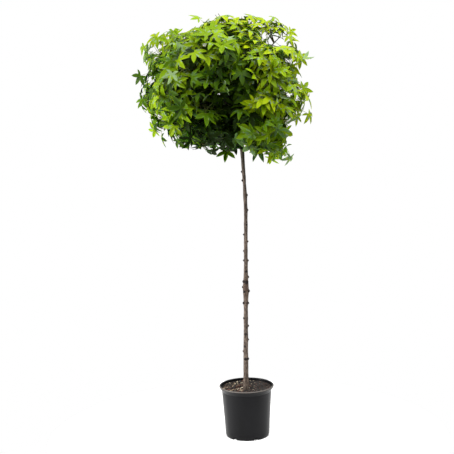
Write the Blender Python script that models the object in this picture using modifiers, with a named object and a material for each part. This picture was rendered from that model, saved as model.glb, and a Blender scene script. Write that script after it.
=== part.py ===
"""A potted standard sweetgum: a ball-headed small tree on a bare stem, in a black nursery pot.

Every piece is a closed solid of its own: the pot, the compost, the trunk, the boughs that leave the
graft at the top of the trunk, and the masses of foliage that the boughs carry. Sizes are in metres,
+Z is up, and the origin is the middle of the pot's flat underside. -Y is the side that faces the
viewer, +X is to the viewer's right.
"""

import math
import random
from dataclasses import dataclass

import bmesh
import bpy
from mathutils import Matrix, Vector
from mathutils.bvhtree import BVHTree

# Pot and compost
POT_HEIGHT = 0.245
RIM_RADIUS = 0.130
NECK_RADIUS = 0.118
BASE_RADIUS = 0.1035
WALL = 0.0020
FLOOR = 0.0025
NECK_DROP = 0.025
COLLAR_DROP = 0.0105
BEAD_RADIUS = 0.0045
BEAD_STEPS = 5
BEAD_FROM_DEG = 200.0
BEAD_SWEEP_DEG = 220.0
BEAD_ROOT_DEG = 150.0
BEAD_ROOT_SHARE = 0.75
# The collar under the bead: its inner face, its outer face, and the small step where it meets the wall
COLLAR_INSET = 0.0081
COLLAR_OUTER_INSET = 0.0038
COLLAR_SLOPE = 0.0008
STEP_OUT = 0.0022
STEP_RISE = 0.0035
FOOT_HEIGHT = 0.009
FOOT_INSET = 0.0012
FOOT_BEVEL = 0.001
POT_SIDES = 32
SLOT_COUNT = 6
SLOT_FIRST_DEG = -67.0
SLOT_WIDTH = 0.022
SLOT_HEIGHT = 0.0105
SLOT_DEPTH = 0.016
SOIL_LEVEL = 0.222
SOIL_PAD_RADIUS = 0.022
SOIL_EDGE_RISE = 0.011
SOIL_SHOULDER_RADIUS = 0.062
SOIL_SHOULDER_RISE = 0.004
SOIL_CHAMFER = 0.018

# Trunk
CLEAR = 0.0003
TRUNK_TOP = 1.600
TRUNK_STATIONS = 36
TRUNK_FOOT_RADIUS = 0.0103
TRUNK_NECK_RADIUS = 0.0083
TRUNK_NECK_HEIGHT = 1.250
TRUNK_TIP_RADIUS = 0.0050
TRUNK_BOW_POWER = 1.8
FLARE = 0.0037
FLARE_FADE = 0.160
BOW_FOOT = -0.003
BOW_OUT = 0.0187
BOW_HEIGHT = 1.060
BOW_BACK = 0.0147
HEAD_HEIGHT = 1.433
SWAY = 0.003
SWAY_HALF_WAVE = 0.47
KNOTTY_HEIGHT = 0.705
KNOTTY_SPREAD = 0.060
KNOTTY_SWELL = 0.0036
GRAFT_HEIGHT = 1.400
GRAFT_SPREAD = 0.060
GRAFT_SWELL = 0.0028

# Stubs and knots of shed side shoots: height, the way it faces in degrees from +X, width
KNOTS = (
    (0.373, 262.0, 0.0100),
    (0.408, 184.0, 0.0060),
    (0.464, 2.0, 0.0060),
    (0.531, 350.0, 0.0070),
    (0.642, 330.0, 0.0085),
    (0.642, 205.0, 0.0085),
    (0.700, 345.0, 0.0100),
    (0.718, 170.0, 0.0090),
    (0.744, 285.0, 0.0120),
    (0.766, 10.0, 0.0080),
    (0.768, 95.0, 0.0090),
    (0.845, 176.0, 0.0060),
    (0.890, 188.0, 0.0055),
    (0.935, 4.0, 0.0055),
    (0.968, 190.0, 0.0060),
    (1.015, 300.0, 0.0065),
    (1.083, 356.0, 0.0065),
    (1.153, 8.0, 0.0075),
    (1.222, 186.0, 0.0070),
    (1.262, 172.0, 0.0070),
)
KNOT_STAND = 0.0022
KNOT_RISE = 0.35
KNOT_SIDES = 5
KNOT_FOOT_SHARE = 0.62
KNOT_TIP_SHARE = 0.34

# Crown: an egg a little to the left of the stem, shared out among the masses by direction
CROWN_CENTRE = Vector((-0.056, 0.0, 1.650))
CROWN_HALF = Vector((0.420, 0.420, 0.335))
SEAM = 0.0015
DOME_DROP = 0.13
DOME_ANGLE = math.radians(40.0)
HEART = 0.40
INNER_SHARE = 0.86

# Boughs
BOUGH_RADIUS = 0.0052
BOUGH_HIGH_RADIUS = 0.0038
BOUGH_TIP_RADIUS = 0.0030
BOUGH_STATIONS = 5
BOUGH_FIRST_HEIGHT = 1.415
BOUGH_LAST_HEIGHT = 1.585
BOUGH_BEND_OUT = 0.45
BOUGH_BEND_LIFT = 0.42
BOUGH_BEND_RISE = 0.35

# Twigs and leaves
GOLDEN = math.radians(137.508)
GOLDEN_SHARE = 0.618
MOST_TWIGS = 16
STEM_RADIUS = 0.0034
TWIG_RADIUS = 0.0022
TWIG_TIP_SHARE = 0.72
TWIG_SINK = 0.0030
STEM_FOOT = 0.0120
STEM_REACH = 0.80
LEAF_LENGTH = 0.103
LEAF_THICKNESS = 0.024
PETIOLE_WIDTH = 0.0026
PETIOLE_ROOT_WIDTH = 0.0010
PETIOLE_LENGTH = 0.062
LEAF_TRIES = 120
SMALLER_AFTER = 60
TWIG_TRIES = 24
LIMB_GAP = 0.004
# How a twig leaves its stem: length and lean at the stem's foot, and what they lose by its tip
TWIG_LENGTH = 0.165
TWIG_LENGTH_LOSS = 0.075
TWIG_LEAN = math.radians(68.0)
TWIG_LEAN_LOSS = math.radians(26.0)
TWIG_TURN_SPREAD = 0.28
TWIG_SHORTEN = 0.022
STEM_FOLLOW = 0.35
FIRST_TWIG = 0.10
TWIG_RUN = 0.84
# Where leaves stand on a twig, and how many
FIRST_LEAF = 0.30
LEAF_RUN = 0.66
TWIG_LEAVES = 4
# How a stalk and its blade stand: along the twig, away from it, up, and how loosely
STALK_ALONG = 0.55
STALK_OUT = 0.85
STALK_UP = 0.10
FACE_OUT = 0.75
FACE_UP = 0.55
HANG = 0.45
LOOSE = 0.20
LOOSE_STEP = 0.010
FACE_LOOSER = 0.18
SMALLER_SHARE = 0.86
LEAST_SPREAD = 0.20
LEAST_FORWARD = 0.17

# Lobes of the five-pointed leaf, from the midrib round to the base: angle and length from the
# base of the blade, then the notch that follows it
LOBES = ((0.0, 1.00, 25.0, 0.60), (52.0, 0.93, 79.0, 0.44), (107.0, 0.60, None, None))
BLADE_CENTRE = 0.24
LOBE_DROOP = 0.14
BASE_HALF_WIDTH = 0.022

UP = Vector((0.0, 0.0, 1.0))


@dataclass(frozen=True)
class Mass:
    """One mass of foliage: where it lies on the crown, how far it reaches and how it is filled."""

    name: str
    azimuth: float
    elevation: float
    reach: float
    start: float = HEART
    leaves: int = 15

    @property
    def unit(self):
        """The way to the mass on the unit ball."""
        az, el = math.radians(self.azimuth), math.radians(self.elevation)
        return Vector((math.cos(el) * math.cos(az), math.cos(el) * math.sin(az), math.sin(el)))

    def at(self, share):
        """The point at a share of the crown's own radius, towards the mass."""
        return CROWN_CENTRE + Vector(u * h * share for u, h in zip(self.unit, CROWN_HALF))


# Rings of masses: name, azimuth of the first, then the elevation and reach of each in turn. They lie
# in a zigzag, so that no level gap runs round the crown
RINGS = (
    ("lower", 314.0, ((-54.0, 1.24), (-45.0, 1.04), (-55.0, 1.02), (-43.0, 1.08), (-56.0, 1.04))),
    ("middle", 2.0, ((-14.0, 1.04), (5.0, 1.00), (-12.0, 1.02), (-3.0, 1.04), (-13.0, 1.01), (5.0, 1.00))),
    ("upper", 36.0, ((36.0, 0.95), (27.0, 1.00), (38.0, 1.10), (26.0, 1.02), (36.0, 0.98))),
)
CROWN_TOP = Mass("top", 330.0, 84.0, 1.03, leaves=18)
ARCHING_SPRAY = Mass("arching_spray", 358.0, 48.0, 1.09, start=0.70, leaves=9)


def crown_masses():
    """All masses, from the lowest ring up."""
    found = []
    for ring, first, members in RINGS:
        step = 360.0 / len(members)
        for k, (elevation, reach) in enumerate(members):
            found.append(Mass(f"{ring}_{k + 1}", first + step * k, elevation, reach))
    return found + [ARCHING_SPRAY, CROWN_TOP]


MASSES = crown_masses()


def clear_scene():
    """Takes away every object, mesh and curve that the scene starts with."""
    for obj in list(bpy.data.objects):
        bpy.data.objects.remove(obj)
    for mesh in list(bpy.data.meshes):
        bpy.data.meshes.remove(mesh)


def make_collection(name, hidden=False):
    """A new collection in the scene, left out of renders where it only holds helpers."""
    made = bpy.data.collections.new(name)
    made.hide_render = hidden
    bpy.context.scene.collection.children.link(made)
    return made


def make_material(name, colour, roughness, metallic=0.0):
    """A Principled material of one colour."""
    material = bpy.data.materials.new(name)
    material.use_nodes = True
    shader = material.node_tree.nodes["Principled BSDF"]
    shader.inputs["Base Color"].default_value = (*colour, 1.0)
    shader.inputs["Roughness"].default_value = roughness
    shader.inputs["Metallic"].default_value = metallic
    return material


def new_object(name, mesh, home, material=None):
    """An object on a mesh, in its collection."""
    obj = bpy.data.objects.new(name, mesh)
    if material is not None:
        mesh.materials.clear()
        mesh.materials.append(material)
    home.objects.link(obj)
    return obj


def mesh_from(bm, name):
    """A mesh with outward faces from a bmesh, which is freed."""
    bm.normal_update()
    bmesh.ops.recalc_face_normals(bm, faces=bm.faces)
    mesh = bpy.data.meshes.new(name)
    bm.to_mesh(mesh)
    bm.free()
    return mesh


def turn_to(way):
    """The rotation that lays +Z along a way."""
    return way.to_track_quat("Z", "Y").to_matrix().to_4x4()


def evaluated_mesh(obj):
    """A copy of the object's mesh with its modifiers or its bevel applied."""
    graph = bpy.context.evaluated_depsgraph_get()
    return bpy.data.meshes.new_from_object(obj.evaluated_get(graph))


def turned(name, profile, home, material=None):
    """A solid turned about the Z axis from a profile of (radius, height), outer side downwards."""
    mesh = bpy.data.meshes.new(name)
    mesh.from_pydata([(r, 0.0, z) for r, z in profile], [(i, i + 1) for i in range(len(profile) - 1)], [])
    obj = new_object(name, mesh, home, material)
    screw = obj.modifiers.new("turn", "SCREW")
    screw.steps = POT_SIDES
    screw.render_steps = POT_SIDES
    screw.use_merge_vertices = True
    screw.merge_threshold = 0.00001
    screw.use_smooth_shade = True
    return obj


def tube(name, points, radii, sides_step, home, material=None):
    """A round limb along the points, as a mesh with welded caps. sides_step 1 is 6 sides, 2 is 8."""
    curve = bpy.data.curves.new(name, "CURVE")
    curve.dimensions = "3D"
    curve.bevel_depth = 1.0
    curve.bevel_resolution = sides_step
    curve.use_fill_caps = True
    spline = curve.splines.new("POLY")
    spline.points.add(len(points) - 1)
    for knot, point, radius in zip(spline.points, points, radii):
        knot.co = (*point, 1.0)
        knot.radius = radius
    guide = bpy.data.objects.new(name + "_guide", curve)
    home.objects.link(guide)
    mesh = evaluated_mesh(guide)
    bm = bmesh.new()
    bm.from_mesh(mesh)
    bmesh.ops.remove_doubles(bm, verts=bm.verts, dist=0.00001)
    bpy.data.meshes.remove(mesh)
    obj = new_object(name, mesh_from(bm, name), home, material)
    obj.matrix_world = guide.matrix_world.copy()
    bpy.data.objects.remove(guide)
    obj.data.shade_smooth()
    return obj


def apply_boolean(obj, operation, other=None, group=None, solver="EXACT"):
    """Runs one Boolean on the object and keeps its result as the object's mesh."""
    cut = obj.modifiers.new(operation.lower(), "BOOLEAN")
    cut.operation = operation
    cut.solver = solver
    if group is None:
        cut.object = other
    else:
        cut.operand_type = "COLLECTION"
        cut.collection = group
    mesh = evaluated_mesh(obj)
    obj.modifiers.clear()
    obj.data = mesh


def lower_wall_radius(height):
    """Outer radius of the pot's straight wall at a height."""
    share = height / (POT_HEIGHT - NECK_DROP)
    return BASE_RADIUS + (NECK_RADIUS - BASE_RADIUS) * share


def inner_wall_radius(height):
    """Inner radius of the pot at a height: the straight wall, then the slope of the collar."""
    neck = POT_HEIGHT - NECK_DROP
    if height <= neck:
        return lower_wall_radius(height) - WALL
    share = (height - neck) / (NECK_DROP - COLLAR_DROP)
    return NECK_RADIUS - WALL + (RIM_RADIUS - COLLAR_INSET - NECK_RADIUS + WALL) * share


def rim_bead():
    """The rounded bead of the rim, from the inner side over the top to the outer side."""
    middle = (RIM_RADIUS - BEAD_RADIUS, POT_HEIGHT - BEAD_RADIUS)
    points = []
    for k in range(BEAD_STEPS + 1):
        degrees = BEAD_FROM_DEG - BEAD_SWEEP_DEG * k / BEAD_STEPS
        reach = BEAD_RADIUS if degrees < BEAD_ROOT_DEG else BEAD_RADIUS * BEAD_ROOT_SHARE
        angle = math.radians(degrees)
        points.append((middle[0] + reach * math.cos(angle), middle[1] + reach * math.sin(angle)))
    return points


def pot_profile():
    """The pot's wall: up the inside, over the rim bead, down the collar and wall, in along the foot."""
    neck = POT_HEIGHT - NECK_DROP
    collar = POT_HEIGHT - COLLAR_DROP
    inner_foot = (lower_wall_radius(FLOOR) - WALL, FLOOR)
    inside = [(0.0, FLOOR), inner_foot, (NECK_RADIUS - WALL, neck)]
    inside.append((RIM_RADIUS - COLLAR_INSET, collar))
    outside = [
        (RIM_RADIUS - COLLAR_OUTER_INSET, collar - COLLAR_SLOPE),
        (NECK_RADIUS + STEP_OUT, neck + STEP_RISE),
        (NECK_RADIUS, neck),
        (lower_wall_radius(FOOT_HEIGHT), FOOT_HEIGHT),
        (lower_wall_radius(FOOT_HEIGHT) - FOOT_INSET, FOOT_HEIGHT - FOOT_BEVEL),
        (BASE_RADIUS - FOOT_INSET, 0.0),
        (0.0, 0.0),
    ]
    return inside + rim_bead() + outside


def make_pot(home, cutters, material):
    """The pot, with drain slots through the corner of its floor and wall."""
    pot = turned("pot", pot_profile(), home, material)
    for k in range(SLOT_COUNT):
        angle = math.radians(SLOT_FIRST_DEG + 360.0 * k / SLOT_COUNT)
        bm = bmesh.new()
        bmesh.ops.create_cube(bm, size=1.0)
        size = Matrix.Diagonal((2.0 * SLOT_DEPTH, SLOT_WIDTH, 2.0 * SLOT_HEIGHT, 1.0))
        place = Matrix.Rotation(angle, 4, "Z") @ Matrix.Translation((BASE_RADIUS, 0.0, 0.0))
        bm.transform(place @ size)
        cutter = new_object(f"slot_cutter_{k + 1}", mesh_from(bm, "slot"), cutters)
        cutter.hide_render = True
        cutter.display_type = "WIRE"
        cut = pot.modifiers.new(f"slot_{k + 1}", "BOOLEAN")
        cut.operation = "DIFFERENCE"
        cut.solver = "EXACT"
        cut.object = cutter
    return pot


def make_compost(home, material):
    """The compost that fills the pot, dished round the trunk and higher towards the wall."""
    edge_level = SOIL_LEVEL + SOIL_EDGE_RISE
    neck = POT_HEIGHT - NECK_DROP
    gap = CLEAR / math.cos(math.pi / POT_SIDES)
    # The collar leans outward, so the level gap to it is wider for the same clearance
    lean = math.atan2(inner_wall_radius(edge_level) - inner_wall_radius(neck), edge_level - neck)
    wall_foot = inner_wall_radius(SOIL_CHAMFER) - gap
    profile = (
        (0.0, SOIL_LEVEL),
        (SOIL_PAD_RADIUS, SOIL_LEVEL),
        (SOIL_SHOULDER_RADIUS, SOIL_LEVEL + SOIL_SHOULDER_RISE),
        (inner_wall_radius(edge_level) - gap / math.cos(lean), edge_level),
        (inner_wall_radius(neck) - gap, neck),
        (wall_foot, SOIL_CHAMFER),
        (wall_foot - SOIL_CHAMFER, FLOOR + CLEAR),
        (0.0, FLOOR + CLEAR),
    )
    return turned("compost", profile, home, material)


def trunk_middle(height):
    """The middle of the trunk at a height: it leans right of the pot, then bends back left."""
    foot = SOIL_LEVEL + CLEAR
    rise = min(1.0, (height - foot) / (BOW_HEIGHT - foot))
    x = BOW_FOOT + BOW_OUT * rise
    if height > BOW_HEIGHT:
        x -= BOW_BACK * ((height - BOW_HEIGHT) / (HEAD_HEIGHT - BOW_HEIGHT)) ** TRUNK_BOW_POWER
    y = SWAY * math.sin(math.pi * (height - foot) / SWAY_HALF_WAVE)
    return Vector((x, y, height))


def trunk_radius(height):
    """The trunk's radius: a slow taper, the flare at its foot, the knotty stretch and the graft."""
    foot = SOIL_LEVEL + CLEAR
    if height < TRUNK_NECK_HEIGHT:
        share = (height - foot) / (TRUNK_NECK_HEIGHT - foot)
        radius = TRUNK_FOOT_RADIUS + (TRUNK_NECK_RADIUS - TRUNK_FOOT_RADIUS) * share
    else:
        share = (height - TRUNK_NECK_HEIGHT) / (TRUNK_TOP - TRUNK_NECK_HEIGHT)
        radius = TRUNK_NECK_RADIUS + (TRUNK_TIP_RADIUS - TRUNK_NECK_RADIUS) * share**2
    radius += FLARE * math.exp(-(height - foot) / FLARE_FADE)
    radius += KNOTTY_SWELL * math.exp(-(((height - KNOTTY_HEIGHT) / KNOTTY_SPREAD) ** 2))
    return radius + GRAFT_SWELL * math.exp(-(((height - GRAFT_HEIGHT) / GRAFT_SPREAD) ** 2))


def trunk_tube(name, extra, home, material=None):
    """The trunk's own run, from its flat cut on the compost to its tip, grown outward by extra."""
    foot = SOIL_LEVEL + CLEAR
    heights = [foot + (TRUNK_TOP - foot) * k / (TRUNK_STATIONS - 1) for k in range(TRUNK_STATIONS)]
    points = [trunk_middle(z) for z in heights]
    radii = [trunk_radius(z) + extra for z in heights]
    # The first length stands upright, so that the cut under the trunk is level
    points[0].xy = points[1].xy
    if extra > 0:
        points[-1] = points[-1] + (points[-1] - points[-2]).normalized() * extra
    return tube(name, points, radii, 2, home, material)


def make_trunk(home, spare, material):
    """The trunk with its knots and stubs fused on."""
    trunk = trunk_tube("trunk", 0.0, home, material)
    for height, facing, width in KNOTS:
        angle = math.radians(facing)
        way = Vector((math.cos(angle), math.sin(angle), KNOT_RISE)).normalized()
        depth = trunk_radius(height) + KNOT_STAND
        bm = bmesh.new()
        bmesh.ops.create_cone(bm, cap_ends=True, segments=KNOT_SIDES, radius1=KNOT_FOOT_SHARE * width,
                              radius2=KNOT_TIP_SHARE * width, depth=depth)
        bm.transform(Matrix.Translation(trunk_middle(height) + way * 0.5 * depth) @ turn_to(way))
        new_object("knot", mesh_from(bm, "knot"), spare)
    apply_boolean(trunk, "UNION", group=spare)
    empty_collection(spare)
    trunk.data.shade_smooth()
    return trunk


def empty_collection(home):
    """Removes every object of a collection."""
    for obj in list(home.objects):
        bpy.data.objects.remove(obj)


def bough_order(masses):
    """The masses in the order in which their boughs leave the trunk, lowest first.

    Members of a ring leave in steps of two, so that neighbours in height face well apart.
    """
    order = []
    for ring, _, _ in RINGS:
        members = [m for m in masses if m.name.startswith(ring)]
        order += members[0::2] + members[1::2]
    return order + [ARCHING_SPRAY, CROWN_TOP]


def bough_route(mass, height):
    """Points of a bough: out of the trunk's middle, bending over towards the heart of its mass."""
    root = trunk_middle(height)
    tip = mass.at(mass.start)
    side = Vector((tip.x - root.x, tip.y - root.y, 0.0))
    lift = BOUGH_BEND_LIFT * side.length + BOUGH_BEND_RISE * max(0.0, tip.z - root.z)
    bend = root + side * BOUGH_BEND_OUT + UP * lift
    last = BOUGH_STATIONS - 1
    points = []
    for k in range(BOUGH_STATIONS):
        t = k / last
        points.append(root * (1 - t) ** 2 + bend * 2 * t * (1 - t) + tip * t * t)
    return points


def make_boughs(masses, home, cutters, material):
    """The boughs, each seated against the trunk with a hair of clearance."""
    sheath = trunk_tube("trunk_sheath", CLEAR / math.cos(math.pi / 8), cutters)
    sheath.hide_render = True
    sheath.display_type = "WIRE"
    order = bough_order(masses)
    boughs = {}
    for k, mass in enumerate(order):
        rise = k / (len(order) - 1)
        height = BOUGH_FIRST_HEIGHT + (BOUGH_LAST_HEIGHT - BOUGH_FIRST_HEIGHT) * rise
        thick = BOUGH_RADIUS + (BOUGH_HIGH_RADIUS - BOUGH_RADIUS) * rise
        points = bough_route(mass, height)
        last = len(points) - 1
        radii = [thick + (BOUGH_TIP_RADIUS - thick) * i / last for i in range(last + 1)]
        bough = tube(f"bough_{mass.name}", points, radii, 1, home, material)
        apply_boolean(bough, "DIFFERENCE", other=sheath)
        keep_largest(bough.data)
        bough.data.shade_smooth()
        boughs[mass.name] = (bough, points[-1], (points[-1] - points[-2]).normalized())
    return boughs


def cone_mesh(start, end, radius, tip_radius):
    """A three-sided tapering twig from start to end."""
    way = end - start
    bm = bmesh.new()
    bmesh.ops.create_cone(bm, cap_ends=True, segments=3, radius1=radius, radius2=tip_radius,
                          depth=way.length)
    bm.transform(Matrix.Translation((start + end) * 0.5) @ turn_to(way))
    return mesh_from(bm, "twig")


def leaf_outline():
    """The blade's outline in units of its length, from the right of its base round to the left."""
    left = []
    for angle, length, notch_angle, notch in LOBES:
        left.append((math.radians(angle), length))
        if notch is not None:
            left.append((math.radians(notch_angle), notch))
    polar = [(-a, r) for a, r in reversed(left)] + left[1:]
    tips = [(r * math.cos(a), r * math.sin(a)) for a, r in polar]
    return [(0.0, -BASE_HALF_WIDTH)] + tips + [(0.0, BASE_HALF_WIDTH)]


OUTLINE = leaf_outline()


def leaf_mesh(root, base, midrib, normal, length):
    """A five-lobed leaf on its stalk, as one closed solid.

    The blade is a thin double fan over the drooping outline, and the stalk a three-sided bar from
    the root, which lies inside the twig, to the base of the blade.
    """
    left = normal.cross(midrib)
    stalk = (base - root).normalized()
    across = (left - stalk * left.dot(stalk)).normalized()
    top = stalk.cross(across)
    if top.dot(normal) < 0:
        top = -top
    half = 0.5 * PETIOLE_ROOT_WIDTH

    def on_blade(u, v, lift=0.0):
        sag = LOBE_DROOP * (u * u + v * v)
        return base + (midrib * u + left * v + normal * (lift - sag)) * length

    bm = bmesh.new()
    rim = [bm.verts.new(on_blade(u, v)) for u, v in OUTLINE]
    crest = bm.verts.new(on_blade(BLADE_CENTRE, 0.0, 0.5 * LEAF_THICKNESS))
    belly = bm.verts.new(on_blade(BLADE_CENTRE, 0.0, -0.5 * LEAF_THICKNESS))
    neck_top = bm.verts.new(base + normal * PETIOLE_WIDTH)
    root_right = bm.verts.new(root - across * half - top * half)
    root_left = bm.verts.new(root + across * half - top * half)
    root_top = bm.verts.new(root + top * half)
    for here, after in zip(rim, rim[1:]):
        bm.faces.new((crest, here, after))
        bm.faces.new((belly, after, here))
    right, left_base = rim[0], rim[-1]
    bm.faces.new((crest, left_base, neck_top))
    bm.faces.new((crest, neck_top, right))
    bm.faces.new((belly, right, left_base))
    for (near, near_root), (far, far_root) in (
        ((right, root_right), (neck_top, root_top)),
        ((neck_top, root_top), (left_base, root_left)),
        ((left_base, root_left), (right, root_right)),
    ):
        bm.faces.new((near, far, far_root))
        bm.faces.new((near, far_root, near_root))
    bm.faces.new((root_right, root_left, root_top))
    return mesh_from(bm, "leaf")


def tree_of(mesh):
    """A search tree of a mesh's faces."""
    return BVHTree.FromPolygons([v.co for v in mesh.vertices], [p.vertices for p in mesh.polygons])


class Space:
    """The share of the crown that belongs to one mass."""

    def __init__(self, mass, masses):
        self.mass = mass
        self.planes = []
        for other in masses:
            if other is not mass:
                apart = mass.unit - other.unit
                wall = Vector(a / h for a, h in zip(apart, CROWN_HALF))
                self.planes.append(wall.normalized())

    def holds(self, point):
        """Whether the point lies in this mass's share, under its domed outer face."""
        out = point - CROWN_CENTRE
        if any(out.dot(wall) < SEAM for wall in self.planes):
            return False
        ball = Vector(o / h for o, h in zip(out, CROWN_HALF))
        far = ball.length
        if far < INNER_SHARE * self.mass.start:
            return False
        angle = ball.angle(self.mass.unit)
        return far <= self.mass.reach - DOME_DROP * (angle / DOME_ANGLE) ** 2

    def outward(self, point):
        """The crown's outward direction at a point."""
        out = point - CROWN_CENTRE
        return Vector(o / (h * h) for o, h in zip(out, CROWN_HALF)).normalized()


class Foliage:
    """Grows one mass: a stem, its side twigs and their leaves, by one seeded rule."""

    def __init__(self, mass, masses, limbs, spare):
        self.mass = mass
        self.space = Space(mass, masses)
        self.limbs = limbs
        self.spare = spare
        self.chance = random.Random("sweetgum " + mass.name)
        self.pieces = []
        self.leaf_count = 0

    def jitter(self, size):
        """A small random vector."""
        return Vector(self.chance.gauss(0.0, size) for _ in range(3))

    def clear_of_limbs(self, mesh):
        """Whether every corner and edge middle keeps clear of the trunk and boughs."""
        corners = [v.co for v in mesh.vertices]
        middles = [(corners[e.vertices[0]] + corners[e.vertices[1]]) * 0.5 for e in mesh.edges]
        tree = tree_of(mesh)
        for limb in self.limbs:
            if tree.overlap(limb):
                return False
            if any(limb.find_nearest(p, LIMB_GAP)[0] is not None for p in corners + middles):
                return False
        return True

    def fits(self, mesh, parent):
        """Whether a twig or leaf stays in the space and touches no other piece but its parent."""
        if not all(self.space.holds(v.co) for v in mesh.vertices):
            return False
        tree = tree_of(mesh)
        for other, _ in self.pieces:
            if other is not parent and tree.overlap(other):
                return False
        return self.clear_of_limbs(mesh)

    def keep(self, mesh):
        """Takes a piece into the mass and returns its search tree."""
        tree = tree_of(mesh)
        new_object("piece", mesh, self.spare)
        self.pieces.append((tree, mesh))
        return tree

    def add_leaf(self, node, axis, out, parent):
        """Hangs one leaf at a node, trying other stances until one fits."""
        for attempt in range(LEAF_TRIES):
            loose = LOOSE + LOOSE_STEP * attempt
            size = LEAF_LENGTH * self.chance.uniform(0.88, 1.10)
            if attempt >= SMALLER_AFTER:
                size *= SMALLER_SHARE
            stalk_length = PETIOLE_LENGTH * self.chance.uniform(0.55, 1.15)
            stalk = axis * STALK_ALONG + out * STALK_OUT + UP * STALK_UP + self.jitter(loose)
            stalk.normalize()
            base = node + stalk * stalk_length
            normal = self.space.outward(base) * FACE_OUT + UP * FACE_UP + self.jitter(loose + FACE_LOOSER)
            normal.normalize()
            hang = stalk - UP * HANG + self.jitter(0.5 * loose)
            hang -= normal * hang.dot(normal)
            if hang.length < LEAST_SPREAD:
                continue
            midrib = hang.normalized()
            if midrib.dot(stalk) < LEAST_FORWARD:
                continue
            mesh = leaf_mesh(node, base, midrib, normal, size)
            if self.fits(mesh, parent):
                self.keep(mesh)
                self.leaf_count += 1
                return
            bpy.data.meshes.remove(mesh)

    def add_twig(self, start, ways, length, radius, parent):
        """Grows a twig along the first of the given ways that fits, shorter where it has to be."""
        for attempt, way in enumerate(ways):
            run = length * (1.0 - TWIG_SHORTEN * attempt)
            end = start + way * run
            mesh = cone_mesh(start, end, radius, radius * TWIG_TIP_SHARE)
            inside = self.space.holds(end) and self.space.holds(start.lerp(end, 0.5))
            tree = tree_of(mesh)
            meets = any(o is not parent and tree.overlap(o) for o, _ in self.pieces)
            if inside and not meets and (parent is None or self.clear_of_limbs(mesh)):
                return self.keep(mesh), way, run
            bpy.data.meshes.remove(mesh)
        return None

    def side_ways(self, axis, turn, spread):
        """Ways for a side twig about an axis, the wanted one first."""
        across = axis.orthogonal().normalized()
        ways = []
        for _ in range(TWIG_TRIES):
            out = Matrix.Rotation(turn + self.chance.gauss(0.0, TWIG_TURN_SPREAD), 3, axis) @ across
            lean = spread * self.chance.uniform(0.8, 1.15)
            ways.append((axis * math.cos(lean) + out * math.sin(lean)).normalized())
        return ways

    def leaf_twig(self, start, way, length, tree, turn):
        """Leaves set round a twig by the golden angle, and one at its end."""
        across = way.orthogonal().normalized()
        for k in range(TWIG_LEAVES):
            if self.leaf_count >= self.mass.leaves:
                return
            share = FIRST_LEAF + LEAF_RUN * k / (TWIG_LEAVES - 1)
            out = Matrix.Rotation(turn + GOLDEN * k, 3, way) @ across
            last = k == TWIG_LEAVES - 1
            self.add_leaf(start + way * (length * share), way, way if last else out, tree)

    def grow(self, start, way, home, material):
        """The whole mass, on a stem that goes on from its bough's tip."""
        reach = self.mass.at(STEM_REACH * self.mass.reach)
        run = (reach - start).length
        stem_way = way.lerp((reach - start).normalized(), 1.0 - STEM_FOLLOW).normalized()
        # The stem's foot faces the bough's end square on, so its first short length follows the bough
        foot, _, _ = self.add_twig(start + way * CLEAR, [way], STEM_FOOT, STEM_RADIUS, None)
        elbow = start + way * (STEM_FOOT - TWIG_SINK)
        tree, axis, length = self.add_twig(elbow, [stem_way] * TWIG_TRIES, run, STEM_RADIUS, foot)
        turn = self.chance.uniform(0.0, math.tau)
        self.leaf_twig(elbow, axis, length, tree, turn)
        for k in range(MOST_TWIGS):
            if self.leaf_count >= self.mass.leaves:
                break
            share = FIRST_TWIG + TWIG_RUN * (GOLDEN_SHARE * (k + 1) % 1.0)
            node = elbow + axis * (length * share)
            twig_length = (TWIG_LENGTH - TWIG_LENGTH_LOSS * share) * self.chance.uniform(0.85, 1.1)
            ways = self.side_ways(axis, turn + GOLDEN * k, TWIG_LEAN - TWIG_LEAN_LOSS * share)
            twig = self.add_twig(node, ways, twig_length, TWIG_RADIUS, tree)
            if twig is not None:
                own, own_way, own_length = twig
                self.leaf_twig(node, own_way, own_length, own, turn + k)
        return self.join(home, material)

    def join(self, home, material):
        """Fuses the pieces into one solid and drops any loose scrap."""
        base = bpy.data.objects.new(f"foliage_{self.mass.name}", self.pieces[0][1].copy())
        home.objects.link(base)
        bpy.data.objects.remove(self.spare.objects[0])
        apply_boolean(base, "UNION", group=self.spare, solver="MANIFOLD")
        empty_collection(self.spare)
        keep_largest(base.data)
        base.data.materials.clear()
        base.data.materials.append(material)
        return base


def keep_largest(mesh):
    """Keeps the largest connected piece of a mesh: what is left is a scrap or a sealed hollow."""
    bm = bmesh.new()
    bm.from_mesh(mesh)
    seen = set()
    groups = []
    for seed in bm.verts:
        if seed in seen:
            continue
        group = []
        stack = [seed]
        seen.add(seed)
        while stack:
            vert = stack.pop()
            group.append(vert)
            for edge in vert.link_edges:
                other = edge.other_vert(vert)
                if other not in seen:
                    seen.add(other)
                    stack.append(other)
        groups.append(group)
    groups.sort(key=len)
    for group in groups[:-1]:
        bmesh.ops.delete(bm, geom=group, context="VERTS")
    bm.to_mesh(mesh)
    bm.free()


def make_foliage(boughs, trunk, home, spare, material):
    """Every mass of the crown, each on its bough's tip."""
    limbs = [tree_of(trunk.data)] + [tree_of(bough.data) for bough, _, _ in boughs.values()]
    for mass in MASSES:
        _, start, way = boughs[mass.name]
        foliage = Foliage(mass, MASSES, limbs, spare)
        foliage.grow(start, way, home, material)
        print("foliage", mass.name, foliage.leaf_count, "leaves")


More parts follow.
